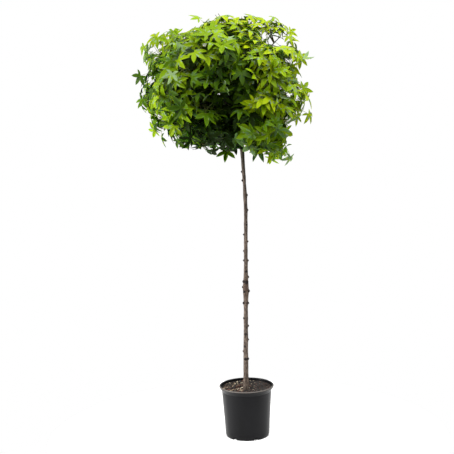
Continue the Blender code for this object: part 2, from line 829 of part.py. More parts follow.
def main():
    clear_scene()
    home = make_collection("potted_sweetgum")
    cutters = make_collection("cutters", hidden=True)
    spare = make_collection("joining")
    black = make_material("pot_black", (0.012, 0.012, 0.013), 0.38)
    soil = make_material("bark_compost", (0.045, 0.028, 0.018), 0.95)
    bark = make_material("stem_bark", (0.150, 0.110, 0.085), 0.85)
    green = make_material("leaf_green", (0.100, 0.260, 0.020), 0.50)
    make_pot(home, cutters, black)
    make_compost(home, soil)
    trunk = make_trunk(home, spare, bark)
    boughs = make_boughs(MASSES, home, cutters, bark)
    make_foliage(boughs, trunk, home, spare, green)
    bpy.data.collections.remove(spare)


main()
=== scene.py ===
"""Looks of a potted standard sweetgum: a ball-headed small tree on a bare stem, in a black nursery pot.

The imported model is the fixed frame. Each mass of foliage is grown again here by the rule that made its
solid, and is carried on to finer twigs and to the plant's own count of leaves. Sizes are in metres, +Z
is up, and the viewer stands on the -Y side.
"""

import logging
import math
import random
from collections.abc import Callable, Iterator, Sequence
from dataclasses import dataclass, field
from enum import Enum

import bmesh
import bpy
import numpy as np
from mathutils import Matrix, Vector, noise
from mathutils.bvhtree import BVHTree


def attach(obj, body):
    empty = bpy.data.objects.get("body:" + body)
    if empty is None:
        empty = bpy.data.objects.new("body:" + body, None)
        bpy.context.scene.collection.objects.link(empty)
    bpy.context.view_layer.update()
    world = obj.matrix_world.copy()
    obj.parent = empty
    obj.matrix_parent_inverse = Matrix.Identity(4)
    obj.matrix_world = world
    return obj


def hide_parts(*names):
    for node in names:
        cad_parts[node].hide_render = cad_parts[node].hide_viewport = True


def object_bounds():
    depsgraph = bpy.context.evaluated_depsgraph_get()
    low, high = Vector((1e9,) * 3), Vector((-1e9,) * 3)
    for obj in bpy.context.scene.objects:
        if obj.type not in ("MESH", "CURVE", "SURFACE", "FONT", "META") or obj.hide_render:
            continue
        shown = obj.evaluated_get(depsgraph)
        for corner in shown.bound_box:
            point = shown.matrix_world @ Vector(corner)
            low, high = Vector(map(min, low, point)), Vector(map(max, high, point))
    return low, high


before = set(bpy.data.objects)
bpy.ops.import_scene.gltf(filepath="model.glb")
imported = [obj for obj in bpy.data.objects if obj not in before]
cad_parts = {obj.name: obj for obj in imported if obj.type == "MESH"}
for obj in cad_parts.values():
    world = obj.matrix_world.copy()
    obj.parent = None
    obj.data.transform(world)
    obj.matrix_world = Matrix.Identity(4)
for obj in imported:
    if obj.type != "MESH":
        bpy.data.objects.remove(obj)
CAD_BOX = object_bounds()
log = logging.getLogger("sweetgum")

UP = Vector((0.0, 0.0, 1.0))
GOLDEN = math.radians(137.508)
GOLDEN_SHARE = 0.618
MM = 0.001

Face = tuple[int, ...]
Form = tuple[np.ndarray, list[Face]]
Range = tuple[float, float]


class Slot(Enum):
    """The material slots of the record."""

    POT = "pot_plastic"
    COMPOST = "compost"
    BARK = "bark"
    LEAVES = "leaves"


def linear(hex_colour: str) -> tuple[float, float, float, float]:
    """Turns an sRGB hex colour into linear red, green, blue and a full alpha.

    Args:
        hex_colour: six hex digits with a leading hash.

    Returns:
        The four numbers that a colour socket takes.
    """
    parts = [int(hex_colour[i : i + 2], 16) / 255.0 for i in (1, 3, 5)]
    red, green, blue = (c / 12.92 if c <= 0.04045 else ((c + 0.055) / 1.055) ** 2.4 for c in parts)
    return (red, green, blue, 1.0)


Source = bpy.types.Node | bpy.types.NodeSocket


def link(tree: bpy.types.NodeTree, node: bpy.types.Node, *sources: Source, **named: Source) -> None:
    """Links sources into a node. A source that is a node feeds by its first output.

    Args:
        tree: the node tree that all of them are in.
        node: the node that they feed.
        sources: what feeds its first inputs, in order.
        named: what feeds its other inputs, by the input's name with _ for a space.
    """
    fed = [*enumerate(sources), *((name.replace("_", " "), source) for name, source in named.items())]
    for key, source in fed:
        socket = source.outputs[0] if isinstance(source, bpy.types.Node) else source
        tree.links.new(socket, node.inputs[key])


def add_node(tree: bpy.types.NodeTree, kind: str, settings: dict | None = None, *sources: Source,
             **named: Source) -> bpy.types.Node:
    """Adds one node with its settings and links.

    Args:
        tree: the node tree that it goes into.
        kind: Blender's name for the kind of node, without ShaderNode.
        settings: values of the node's own properties, of its input sockets by name or number, and of
            a colour ramp's stops, each a place and a hex colour.
        sources: what feeds its first inputs, in order.
        named: what feeds its other inputs, by the input's name with _ for a space.

    Returns:
        The new node.
    """
    node = tree.nodes.new("ShaderNode" + kind)
    for name, value in (settings or {}).items():
        if name == "stops":
            elements = node.color_ramp.elements
            while len(elements) < len(value):
                elements.new(1.0)
            for element, (place, colour) in zip(elements, value):
                element.position = place
                element.color = linear(colour)
        elif isinstance(name, int) or name in node.inputs:
            node.inputs[name].default_value = value
        else:
            setattr(node, name, value)
    link(tree, node, *sources, **named)
    return node


def per_mm(size_mm: float) -> float:
    """The scale of a pattern whose grains are so many millimetres wide."""
    return 1.0 / (size_mm * MM)


def new_material(name: str, **sockets: float | str) -> tuple[bpy.types.Material, bpy.types.Node]:
    """Makes a material with one Principled shader.

    Args:
        name: the material's name.
        sockets: values of the shader's sockets, by name with _ for a space. A string is a hex colour.

    Returns:
        The material and its shader node.
    """
    material = bpy.data.materials.new(name)
    material.use_nodes = True
    shader = material.node_tree.nodes["Principled BSDF"]
    for socket, value in sockets.items():
        shader.inputs[socket.replace("_", " ")].default_value = (
            linear(value) if isinstance(value, str) else value)
    return material, shader


@dataclass(frozen=True)
class MouldedPolypropylene:
    """Black polypropylene, injection moulded: a satin skin with the faint drag lines of the mould.

    The eye sees near black that turns grey where a bright panel glances off the side of the wall. A pale
    line is painted along the top of the bead's outside: partly a scuff from handling, partly a painted
    highlight of the lamps above.
    """

    colour: str = "#040406"
    dusty: str = "#0a0a0e"
    roughness: float = 0.36
    gloss_level: float = 0.15
    ior: float = 1.49
    # The pale line on the top of the bead's outside, part rub and part painted highlight: its colour,
    # strength and place
    rub_and_highlight: str = "#6e6863"
    rub_and_highlight_share: float = 0.85
    bead_from: float = 0.1262
    bead_from_fade: float = 0.0015
    bead_above: float = 0.2400
    bead_above_fade: float = 0.002
    skin_mm: float = 0.9
    skin_depth_mm: float = 0.2
    cloud_mm: float = 45.0
    drawn_out: float = 0.25

    def material(self) -> bpy.types.Material:
        """Makes the material."""
        material, shader = new_material("moulded_black_polypropylene", Roughness=self.roughness,
                                        IOR=self.ior, Specular_IOR_Level=self.gloss_level)
        tree = material.node_tree
        place = add_node(tree, "TexCoord").outputs["Object"]
        drawn = add_node(tree, "Mapping", {"Scale": (1.0, 1.0, self.drawn_out)}, place)
        cloud = add_node(tree, "TexNoise",
                         {"Scale": per_mm(self.cloud_mm), "Detail": 4.0, "Roughness": 0.6}, drawn)
        colour = add_node(tree, "ValToRGB",
                          {"stops": ((0.35, self.colour), (0.75, self.dusty))}, cloud)
        flat = add_node(tree, "Mapping", {"Scale": (1.0, 1.0, 0.0)}, place)
        out = add_node(tree, "VectorMath", {"operation": "LENGTH"}, flat).outputs["Value"]
        # Rub and painted highlight: a pale line on the top of the bead's outside
        outer = add_node(tree, "MapRange", {
            "From Min": self.bead_from, "From Max": self.bead_from + self.bead_from_fade,
            "To Max": self.rub_and_highlight_share}, out)
        height = add_node(tree, "SeparateXYZ", None, place).outputs["Z"]
        high = add_node(tree, "MapRange", {
            "From Min": self.bead_above, "From Max": self.bead_above + self.bead_above_fade}, height)
        rubbed_and_lit_mask = add_node(tree, "Math", {"operation": "MULTIPLY"}, outer, high)
        rubbed_and_lit = add_node(tree, "MixRGB", {"Color2": linear(self.rub_and_highlight)}, rubbed_and_lit_mask, colour)
        skin = add_node(tree, "TexNoise", {"Scale": per_mm(self.skin_mm), "Detail": 2.0}, drawn)
        bump = add_node(tree, "Bump", {"Strength": 0.12, "Distance": self.skin_depth_mm * MM},
                        Height=skin)
        link(tree, shader, Base_Color=rubbed_and_lit, Normal=bump)
        return material


@dataclass(frozen=True)
class CompostedBark:
    """Composted bark, shredded and damp: dark crumbs that swallow the light, with paler fibre in them."""

    wet: str = "#0b0806"
    crumb: str = "#1b140f"
    fibre: str = "#3a2f25"
    crumb_mm: float = 4.0
    crumb_depth_mm: float = 2.0
    roughness: float = 0.92

    def material(self) -> bpy.types.Material:
        """Makes the material."""
        material, shader = new_material("composted_bark", Roughness=self.roughness)
        tree = material.node_tree
        place = add_node(tree, "TexCoord").outputs["Object"]
        crumbs = add_node(tree, "TexNoise",
                          {"Scale": per_mm(self.crumb_mm), "Detail": 6.0, "Roughness": 0.7}, place)
        colour = add_node(tree, "ValToRGB",
                          {"stops": ((0.34, self.wet), (0.52, self.crumb), (0.78, self.fibre))}, crumbs)
        bump = add_node(tree, "Bump", {"Strength": 0.7, "Distance": self.crumb_depth_mm * MM},
                        Height=crumbs)
        link(tree, shader, Base_Color=colour, Normal=bump)
        return material


@dataclass(frozen=True)
class PlainFinish:
    """A dull surface of one plain colour. Each kind of it says what the real one is."""

    name: str
    colour: str
    roughness: float
    kind: str = ""

    def material(self) -> bpy.types.Material:
        """Makes the material."""
        return new_material(self.kind + self.name, Base_Color=self.colour, Roughness=self.roughness)[0]


@dataclass(frozen=True)
class BarkChip(PlainFinish):
    """Pine bark and split wood, chipped and dry on top: matt flakes of one plain colour each."""

    roughness: float = 0.85
    kind: str = "bark_chip_"


@dataclass(frozen=True)
class YoungBark:
    """The bark of a young sweetgum, grown: dull grey-brown cork, with fine streaks along the stem.

    The eye sees a cool grey stem with browner patches. A painted shade makes its top greenish and dark,
    where the crown shades it.
    """

    pale: str = "#8d8176"
    grey: str = "#625851"
    brown: str = "#382e27"
    rust: str = "#4b382c"
    shaded: str = "#37372a"
    streak_mm: float = 2.6
    streak_depth_mm: float = 0.7
    streak_squat: float = 0.16
    patch_mm: float = 38.0
    patch_squat: float = 0.5
    patch_share: float = 0.55
    roughness: float = 0.82
    gloss_level: float = 0.2
    rust_middle: float = 0.715
    rust_spread: float = 0.085
    rust_share: float = 0.45
    # The crown's painted shade, greenish and dark: the heights where it begins and is full, and how strong it
    # is
    shade_from: float = 1.24
    shade_to: float = 1.38
    shade_share: float = 0.8

    def material(self) -> bpy.types.Material:
        """Makes the material."""
        material, shader = new_material("young_sweetgum_bark", Roughness=self.roughness,
                                        Specular_IOR_Level=self.gloss_level)
        tree = material.node_tree
        place = add_node(tree, "TexCoord").outputs["Object"]
        drawn = add_node(tree, "Mapping", {"Scale": (1.0, 1.0, self.streak_squat)}, place)
        streak = add_node(tree, "TexNoise",
                          {"Scale": per_mm(self.streak_mm), "Detail": 5.0, "Roughness": 0.65}, drawn)
        fine = add_node(tree, "ValToRGB",
                        {"stops": ((0.36, self.brown), (0.48, self.grey), (0.62, self.pale))}, streak)
        squat = add_node(tree, "Mapping", {"Scale": (1.0, 1.0, self.patch_squat)}, place)
        patch = add_node(tree, "TexNoise", {"Scale": per_mm(self.patch_mm), "Detail": 3.0}, squat)
        mottle = add_node(tree, "ValToRGB",
                          {"stops": ((0.38, self.brown), (0.60, self.pale))}, patch)
        mixed = add_node(tree, "MixRGB", {"blend_type": "SOFT_LIGHT", "Fac": self.patch_share},
                         Color1=fine, Color2=mottle)
        height = add_node(tree, "SeparateXYZ", None, place).outputs["Z"]
        away = add_node(tree, "Math", {"operation": "SUBTRACT", 1: self.rust_middle}, height)
        near = add_node(tree, "Math", {"operation": "ABSOLUTE"}, away)
        warm = add_node(tree, "MapRange", {
            "From Min": 0.0, "From Max": self.rust_spread, "To Min": self.rust_share, "To Max": 0.0}, near)
        rusty = add_node(tree, "MixRGB", {"Color2": linear(self.rust)}, warm, mixed)
        # Painted shade: the bark turns greenish and dark towards the top, under the crown
        shade = add_node(tree, "MapRange", {
            "From Min": self.shade_from, "From Max": self.shade_to,
            "To Min": 0.0, "To Max": self.shade_share}, height)
        crown_shaded = add_node(tree, "MixRGB", {"Color2": linear(self.shaded)}, shade, rusty)
        bump = add_node(tree, "Bump", {"Strength": 0.7, "Distance": self.streak_depth_mm * MM},
                        Height=streak)
        link(tree, shader, Base_Color=crown_shaded, Normal=bump)
        return material


@dataclass(frozen=True)
class DriedStub(PlainFinish):
    """The cut end of a shed side shoot, dried on the stem: dark brown, dead matt wood."""

    name: str = "dried_shoot_stub"
    colour: str = "#1a110c"
    roughness: float = 0.95


@dataclass(frozen=True)
class GrownShoot(PlainFinish):
    """This year's wood, grown: a smooth thin rind of one plain colour, olive brown to green."""

    roughness: float = 0.55
    kind: str = "shoot_"


@dataclass(frozen=True)
class LeafBlade:
    """A sweetgum leaf, grown: a thin waxy skin over green tissue that lets some light through.

    Its base colours are lit and shaded copies of one green: painted yellow green where the sun would
    reach it and deep green inside the crown. Each is one plain colour, dealt out by spray, and light that
    enters the blade comes out of it again softened.
    """

    name: str
    colour: str
    roughness: float = 0.48
    ior: float = 1.42
    sheen_level: float = 0.08
    through: float = 0.25
    depth_mm: float = 1.6
    depth_of_red_green_blue: tuple[float, float, float] = (0.55, 1.0, 0.12)

    def material(self) -> bpy.types.Material:
        """Makes the material."""
        material, shader = new_material(f"leaf_{self.name}", Base_Color=self.colour, Roughness=self.roughness,
                                        IOR=self.ior, Specular_IOR_Level=self.sheen_level,
                                        Subsurface_Weight=self.through)
        shader.inputs["Subsurface Radius"].default_value = self.depth_of_red_green_blue
        shader.inputs["Subsurface Scale"].default_value = self.depth_mm * MM
        return material


class Tint(Enum):
    """Leaf colours, painted as light and shade from the sunlit tips to the heart of the crown, then the
    undersides.
    """

    # Lit and shaded copies of one green, from full sun to deep shade, dealt out by the crown's painted light
    TIP = LeafBlade("tip_yellow_green", "#93a80a")
    SUN = LeafBlade("sun_yellow_green", "#809c08")
    FRESH = LeafBlade("fresh_green", "#6e8c06")
    MIDDLE = LeafBlade("middle_green", "#4f6e06")
    SHADE = LeafBlade("shade_green", "#365006")
    HEART = LeafBlade("heart_green", "#1d2d06")
    UNDER_PALE = LeafBlade("underside_pale", "#7e9766", roughness=0.62)
    UNDER_DULL = LeafBlade("underside_dull", "#55743c", roughness=0.62)
    UNDER_DEEP = LeafBlade("underside_deep", "#2b3f1f", roughness=0.62)


TINTS = tuple(Tint)
DARKEST = TINTS.index(Tint.HEART)
# A turned leaf is painted at least as light as these: the first high in the crown, the second lower down, in
# shade
TURNED_PALE = TINTS.index(Tint.FRESH)
TURNED_HALF_SHADE = TINTS.index(Tint.MIDDLE)


def add_object(name: str, data: bpy.types.ID) -> bpy.types.Object:
    """Makes an object of a mesh, lamp or camera and links it to the scene."""
    made = bpy.data.objects.new(name, data)
    bpy.context.scene.collection.objects.link(made)
    return made


class JoinedMesh:
    """Many small forms, gathered as arrays and made one mesh object at the end."""

    def __init__(self, name: str, materials: Sequence[bpy.types.Material]) -> None:
        """Starts an empty mesh.

        Args:
            name: the object's name.
            materials: its materials, in the order of the slots that forms are added with.
        """
        self.name = name
        self.materials = materials
        self.points: list[np.ndarray] = []
        self.faces: list[Face] = []
        self.slots: list[int] = []
        self.count = 0

    def add(self, form: Form, slot: int | Sequence[int] = 0) -> None:
        """Adds a form.

        Args:
            form: its points and faces.
            slot: the material slot of all its faces, or one for each.
        """
        points, faces = form
        self.points.append(points)
        self.faces.extend(tuple(i + self.count for i in face) for face in faces)
        self.slots.extend([slot] * len(faces) if isinstance(slot, int) else slot)
        self.count += len(points)

    def build(self, crease_deg: float = 40.0) -> bpy.types.Object:
        """Makes the object, shaded smooth but for edges sharper than crease_deg."""
        mesh = bpy.data.meshes.new(self.name)
        mesh.from_pydata(np.concatenate(self.points).tolist(), [], self.faces)
        for material in self.materials:
            mesh.materials.append(material)
        mesh.polygons.foreach_set("material_index", np.array(self.slots, dtype=np.int32))
        mesh.shade_smooth()
        mesh.set_sharp_from_angle(angle=math.radians(crease_deg))
        mesh.update()
        return add_object(self.name, mesh)


def settle(piece: bpy.types.Object, nodes: Sequence[str] = ()) -> None:
    """Ties a finished piece to the frame.

    Args:
        piece: the piece, in its place.
        nodes: the solids that it stands for.
    """
    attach(piece, "root")
    if nodes:
        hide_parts(*nodes)
    log.info("%s: %d faces", piece.name, len(piece.data.polygons))


def bezier(start: Vector, bend: Vector, end: Vector, stations: int) -> list[Vector]:
    """Points along a quadratic curve.

    Args:
        start: where it begins.
        bend: the point that it bends towards.
        end: where it ends.
        stations: how many points.

    Returns:
        The points, both ends included.
    """
    shares = [k / (stations - 1) for k in range(stations)]
    return [start * (1 - t) ** 2 + bend * 2 * t * (1 - t) + end * t * t for t in shares]


def tube(route: Sequence[Vector], radii: Sequence[float], sides: int,
         relief: Callable[[float, Vector], float] | None = None) -> Form:
    """A round limb along a route, closed at both ends.

    Args:
        route: the points of its middle line.
        radii: its radius at each.
        sides: how many points go round it.
        relief: what its surface stands out by, from the angle round the limb and the point on it.

    Returns:
        Its points and faces.
    """
    across = (route[1] - route[0]).orthogonal().normalized()
    points = []
    last = len(route) - 1
    for k, (middle, radius) in enumerate(zip(route, radii)):
        along = (route[min(k + 1, last)] - route[max(k - 1, 0)]).normalized()
        across = (across - along * across.dot(along)).normalized()
        beside = along.cross(across)
        for i in range(sides):
            angle = math.tau * i / sides
            out = across * math.cos(angle) + beside * math.sin(angle)
            stand = relief(angle, middle + out * radius) if relief else 0.0
            points.append(middle + out * (radius + stand))
    faces: list[Face] = [tuple(reversed(range(sides)))]
    for k in range(last):
        near, far = k * sides, (k + 1) * sides
        for i in range(sides):
            j = (i + 1) % sides
            faces.append((near + i, near + j, far + j, far + i))
    faces.append(tuple(range(last * sides, (last + 1) * sides)))
    return np.array([tuple(p) for p in points]), faces


def lathe(profile: Sequence[Range], sides: int,
          relief: Callable[[float, float, float], float] | None = None) -> Form:
    """A solid turned about the Z axis from a profile that begins and ends on the axis.

    Args:
        profile: radius and height of each point, from the axis out and back to the axis.
        sides: how many points go round it.
        relief: what a point is lifted by, from its x, y and z.

    Returns:
        Its points and faces.
    """
    points = [(0.0, 0.0, profile[0][1])]
    for radius, height in profile[1:-1]:
        for i in range(sides):
            angle = math.tau * i / sides
            x, y = radius * math.cos(angle), radius * math.sin(angle)
            points.append((x, y, height + (relief(x, y, height) if relief else 0.0)))
    points.append((0.0, 0.0, profile[-1][1]))
    rings = len(profile) - 2
    faces: list[Face] = []
    for i in range(sides):
        j = (i + 1) % sides
        faces.append((0, 1 + i, 1 + j))
        for k in range(rings - 1):
            near, far = 1 + k * sides, 1 + (k + 1) * sides
            faces.append((near + i, far + i, far + j, near + j))
        low = 1 + (rings - 1) * sides
        faces.append((len(points) - 1, low + j, low + i))
    return np.array(points), faces


@dataclass
class NurseryPot:
    """The black pot: a bead round the rim, a collar under it, a tapering wall, and drain slots."""

    height: float = 0.245
    rim_radius: float = 0.130
    neck_radius: float = 0.118
    base_radius: float = 0.1035
    wall: float = 0.0020
    floor: float = 0.0025
    neck_drop: float = 0.025
    neck_fillet: float = 0.0006
    wall_rings: int = 6
    collar_drop: float = 0.0105
    collar_inset: float = 0.0081
    collar_outer_inset: float = 0.0038
    collar_fillet: float = 0.0008
    step_out: float = 0.0022
    step_rise: float = 0.0035
    step_slope: Range = (0.0016, 0.004)
    bead_radius: float = 0.0045
    bead_steps: int = 12
    bead_from_deg: float = 200.0
    bead_sweep_deg: float = 250.0
    foot_height: float = 0.009
    foot_inset: float = 0.0012
    foot_bevel: float = 0.0012
    # The rounded step over the foot: how far in, as a share of foot_inset, and how far down
    foot_step: tuple[Range, ...] = ((0.0, 0.0), (0.7, 0.0007), (1.0, 0.0016))
    sides: int = 144
    slot_count: int = 6
    slot_first_deg: float = -67.0
    slot_width: float = 0.022
    slot_height: float = 0.0105
    slot_depth: float = 0.016
    slot_corner: float = 0.0022
    crease_deg: float = 35.0
    finish: MouldedPolypropylene = field(default_factory=MouldedPolypropylene)

    def wall_radius(self, height: float) -> float:
        """Outer radius of the straight wall at a height."""
        share = height / (self.height - self.neck_drop)
        return self.base_radius + (self.neck_radius - self.base_radius) * share

    def inner_radius(self, height: float) -> float:
        """Inner radius at a height: the straight wall, then the slope of the collar.

        Args:
            height: the height over the floor that the pot stands on.

        Returns:
            The radius.
        """
        neck = self.height - self.neck_drop
        if height <= neck:
            return self.wall_radius(height) - self.wall
        share = (height - neck) / (self.neck_drop - self.collar_drop)
        slope = self.rim_radius - self.collar_inset - self.neck_radius + self.wall
        return self.neck_radius - self.wall + slope * share

    def bead(self) -> list[Range]:
        """The rounded bead of the rim.

        Returns:
            Its points, from the inner side over the top to the outer side.
        """
        middle = (self.rim_radius - self.bead_radius, self.height - self.bead_radius)
        angles = [math.radians(self.bead_from_deg - self.bead_sweep_deg * k / self.bead_steps)
                  for k in range(self.bead_steps + 1)]
        return [(middle[0] + self.bead_radius * math.cos(a), middle[1] + self.bead_radius * math.sin(a))
                for a in angles]

    def profile(self) -> list[Range]:
        """The whole section.

        Returns:
            Its points: up the inside, over the bead, down the collar and the wall to the foot.
        """
        neck = self.height - self.neck_drop
        collar = self.height - self.collar_drop
        ledge = self.wall_radius(self.foot_height)
        inside = [(0.0, self.floor), (self.wall_radius(self.floor) - self.wall, self.floor),
                  (self.neck_radius - self.wall, neck), (self.rim_radius - self.collar_inset, collar)]
        step = (self.neck_radius + self.step_out, neck + self.step_rise)
        outside = [
            (self.rim_radius - self.collar_outer_inset, collar - self.collar_fillet),
            (step[0] + self.step_slope[0], step[1] + self.step_slope[1]),
            step,
            (self.neck_radius + self.neck_fillet, neck + self.neck_fillet),
            (self.neck_radius, neck),
        ]
        for k in range(1, self.wall_rings):
            height = neck + (self.foot_height - neck) * k / self.wall_rings
            outside.append((self.wall_radius(height), height))
        outside += [(ledge - share * self.foot_inset, self.foot_height - drop)
                    for share, drop in self.foot_step]
        outside += [
            (self.base_radius - self.foot_inset, self.foot_bevel),
            (self.base_radius - self.foot_inset - self.foot_bevel, 0.0),
            (0.0, 0.0),
        ]
        return inside + self.bead() + outside

    def cut_slots(self, pot: bpy.types.Object) -> None:
        """Cuts the drain slots through the corner of the pot's floor and wall.

        Args:
            pot: the pot, whose mesh is changed.
        """
        bm = bmesh.new()
        run = 2.0 * self.slot_depth
        for k in range(self.slot_count):
            angle = math.radians(self.slot_first_deg + 360.0 * k / self.slot_count)
            place = Matrix.Rotation(angle, 4, "Z") @ Matrix.Translation((self.base_radius, 0.0, 0.0))
            size = Matrix.Diagonal((run, self.slot_width, 2.0 * self.slot_height, 1.0))
            box = bmesh.ops.create_cube(bm, size=1.0, matrix=place @ size)
            edges = {e for v in box["verts"] for e in v.link_edges}
            # The longest edges, which run out through the wall, are the slot's four corners
            corners = [e for e in edges if math.isclose(e.calc_length(), run, rel_tol=0.05)]
            bmesh.ops.bevel(bm, geom=corners, offset=self.slot_corner, segments=4, affect="EDGES")
        mesh = bpy.data.meshes.new("slot_cutter")
        bm.normal_update()
        bmesh.ops.recalc_face_normals(bm, faces=bm.faces)
        bm.to_mesh(mesh)
        bm.free()
        cutter = add_object("slot_cutter", mesh)
        cut = pot.modifiers.new("slots", "BOOLEAN")
        cut.operation = "DIFFERENCE"
        cut.object = cutter
        graph = bpy.context.evaluated_depsgraph_get()
        done = bpy.data.meshes.new_from_object(pot.evaluated_get(graph))
        pot.modifiers.clear()
        pot.data = done
        bpy.data.objects.remove(cutter)
        done.shade_smooth()
        done.set_sharp_from_angle(angle=math.radians(self.crease_deg))

    def build(self) -> None:
        """Makes the pot and ties it to the frame."""
        joined = JoinedMesh("nursery_pot", [self.finish.material()])
        joined.add(lathe(self.profile(), self.sides))
        pot = joined.build()
        self.cut_slots(pot)
        settle(pot, ["pot"])


@dataclass
class CompostBed:
    """The compost in the pot, with the bark chips that lie on it."""

    pot: NurseryPot
    level: float = 0.222
    pad_radius: float = 0.020
    edge_rise: float = 0.011
    shoulder_radius: float = 0.062
    shoulder_rise: float = 0.004
    chamfer: float = 0.018
    clear: float = 0.0006
    sides: int = 96
    rings: int = 30
    # The bed's swells and crumbs: how high they are and how many go to a metre
    heave: float = 0.0032
    heave_scale: float = 28.0
    crumb: float = 0.0016
    crumb_scale: float = 150.0
    # Near the stem and the wall the bed lies calmer
    stem_calm: float = 0.014
    stem_calm_run: float = 0.010
    wall_calm_run: float = 0.012
    wall_least: float = 0.15
    chips: int = 1050
    chip_clear: float = 0.018
    chip_rim_share: float = 0.97
    chip_least: float = 0.003
    chip_most: float = 0.009
    chip_tilt: float = 0.30
    chip_sunk: float = 0.35
    # Shares of a chip's size: its thickness, how far each of its corners reaches and how slim it is
    chip_thick: Range = (0.10, 0.24)
    corner_along: Range = (0.55, 1.0)
    corner_across: Range = (0.5, 1.0)
    dark_slim: Range = (0.35, 0.9)
    pale_slim: Range = (0.22, 0.5)
    # Paler, longer chips have gathered on the left of the stem
    left_longer: float = 0.011
    left_run: float = 0.03
    pale_share: float = 0.08
    left_paler: float = 0.30
    seed: str = "bark chips"
    finish: CompostedBark = field(default_factory=CompostedBark)
    chip_finishes: tuple[BarkChip, ...] = (
        BarkChip("wet", "#120d0a"),
        BarkChip("brown", "#251c15"),
        BarkChip("russet", "#55382b"),
        BarkChip("tan", "#85725c"),
        BarkChip("split_wood", "#b9ac93"),
    )

    def base_level(self, radius: float) -> float:
        """Height of the smooth bed at a distance from the axis.

        Args:
            radius: the distance.

        Returns:
            The height: level round the stem, then rising to the wall.
        """
        if radius < self.pad_radius:
            return self.level
        if radius < self.shoulder_radius:
            share = (radius - self.pad_radius) / (self.shoulder_radius - self.pad_radius)
            return self.level + self.shoulder_rise * share
        edge = self.wall_top()
        share = min(1.0, (radius - self.shoulder_radius) / (edge - self.shoulder_radius))
        return self.level + self.shoulder_rise + (self.edge_rise - self.shoulder_rise) * share

    def wall_top(self) -> float:
        """Radius of the bed where it meets the wall."""
        return self.pot.inner_radius(self.level + self.edge_rise) - self.clear

    def relief(self, x: float, y: float) -> float:
        """What the crumbs lift the bed by.

        Args:
            x: the place.
            y: the place.

        Returns:
            The lift.
        """
        low = noise.noise(Vector((x, y, 0.3)) * self.heave_scale)
        fine = noise.noise(Vector((x, y, 1.7)) * self.crumb_scale)
        far = math.hypot(x, y)
        by_stem = min(1.0, max(0.0, (far - self.stem_calm) / self.stem_calm_run))
        by_wall = min(1.0, max(self.wall_least, (self.wall_top() - far) / self.wall_calm_run))
        return (self.heave * low + self.crumb * fine) * by_stem * by_wall

    def bed(self) -> Form:
        """The bed as a closed solid.

        Returns:
            Its points and faces: the crumbly top, then the wall and floor of the pot's inside.
        """
        edge = self.wall_top()
        neck = self.pot.height - self.pot.neck_drop
        foot = self.pot.inner_radius(self.chamfer) - self.clear
        bottom = self.pot.floor + self.clear
        steps = [edge * k / self.rings for k in range(self.rings + 1)]
        profile = [*((step, self.base_level(step)) for step in steps),
                   (self.pot.inner_radius(neck) - self.clear, neck), (foot, self.chamfer),
                   (foot - self.chamfer, bottom), (0.0, bottom)]
        under_top = self.level - MM

        def lift(x: float, y: float, z: float) -> float:
            """The relief, on the bed's top alone."""
            return self.relief(x, y) if z > under_top else 0.0

        return lathe(profile, self.sides, lift)

    def chip(self, chance: random.Random, x: float, y: float, size: float, slim: float) -> Form:
        """One flake: a box with uneven corners, lying nearly flat on the bed.

        Args:
            chance: what deals out its unevenness.
            x: its place.
            y: its place.
            size: its length.
            slim: its width as a share of its length.

        Returns:
            Its points and faces.
        """
        half = Vector((0.5 * size, 0.5 * size * slim, 0.5 * size * chance.uniform(*self.chip_thick)))
        turn = Matrix.Rotation(chance.uniform(0.0, math.tau), 3, "Z")
        turn = turn @ Matrix.Rotation(chance.gauss(0.0, self.chip_tilt), 3, "X") @ Matrix.Rotation(
            chance.gauss(0.0, self.chip_tilt), 3, "Y")
        corners = []
        for sz in (-1, 1):
            for sx, sy in ((-1, -1), (1, -1), (1, 1), (-1, 1)):
                along = sx * half.x * chance.uniform(*self.corner_along)
                across = sy * half.y * chance.uniform(*self.corner_across)
                corners.append(turn @ Vector((along, across, sz * half.z)))
        height = self.base_level(math.hypot(x, y)) + self.relief(x, y) + self.chip_sunk * half.z
        points = np.array([(x + c.x, y + c.y, height + c.z) for c in corners])
        around = [(i, (i + 1) % 4, (i + 1) % 4 + 4, i + 4) for i in range(4)]
        return points, [(3, 2, 1, 0), (4, 5, 6, 7), *around]

    def build(self) -> None:
        """Makes the bed and its chips and ties them to the frame."""
        joined = JoinedMesh("compost_bed", [self.finish.material()])
        joined.add(self.bed())
        settle(joined.build(crease_deg=60.0), ["compost"])
        chance = random.Random(self.seed)
        chips = JoinedMesh("bark_chips", [f.material() for f in self.chip_finishes])
        wet, brown, russet, tan, split_wood = range(len(self.chip_finishes))
        edge = self.wall_top()
        for _ in range(self.chips):
            angle = chance.uniform(0.0, math.tau)
            radius = math.sqrt(chance.uniform((self.chip_clear / edge) ** 2, self.chip_rim_share)) * edge
            x, y = radius * math.cos(angle), radius * math.sin(angle)
            left = 0.5 - 0.5 * math.tanh(x / self.left_run)
            size = chance.uniform(self.chip_least, self.chip_most + self.left_longer * left)
            pale = chance.random() < self.pale_share + self.left_paler * left
            kind = chance.choice((tan, split_wood, russet) if pale else (wet, wet, brown, brown, russet))
            slim = chance.uniform(*(self.pale_slim if pale else self.dark_slim))
            if radius + 0.5 * size > edge:
                continue
            chips.add(self.chip(chance, x, y, size, slim), kind)
        settle(chips.build(crease_deg=30.0))


@dataclass(frozen=True)
class Knot:
    """The mark of a shed side shoot: its height, the way it faces and how wide its collar is."""

    height: float
    facing_deg: float
    width: float

    @property
    def way(self) -> Vector:
        """The level way that it faces."""
        angle = math.radians(self.facing_deg)
        return Vector((math.cos(angle), math.sin(angle), 0.0))


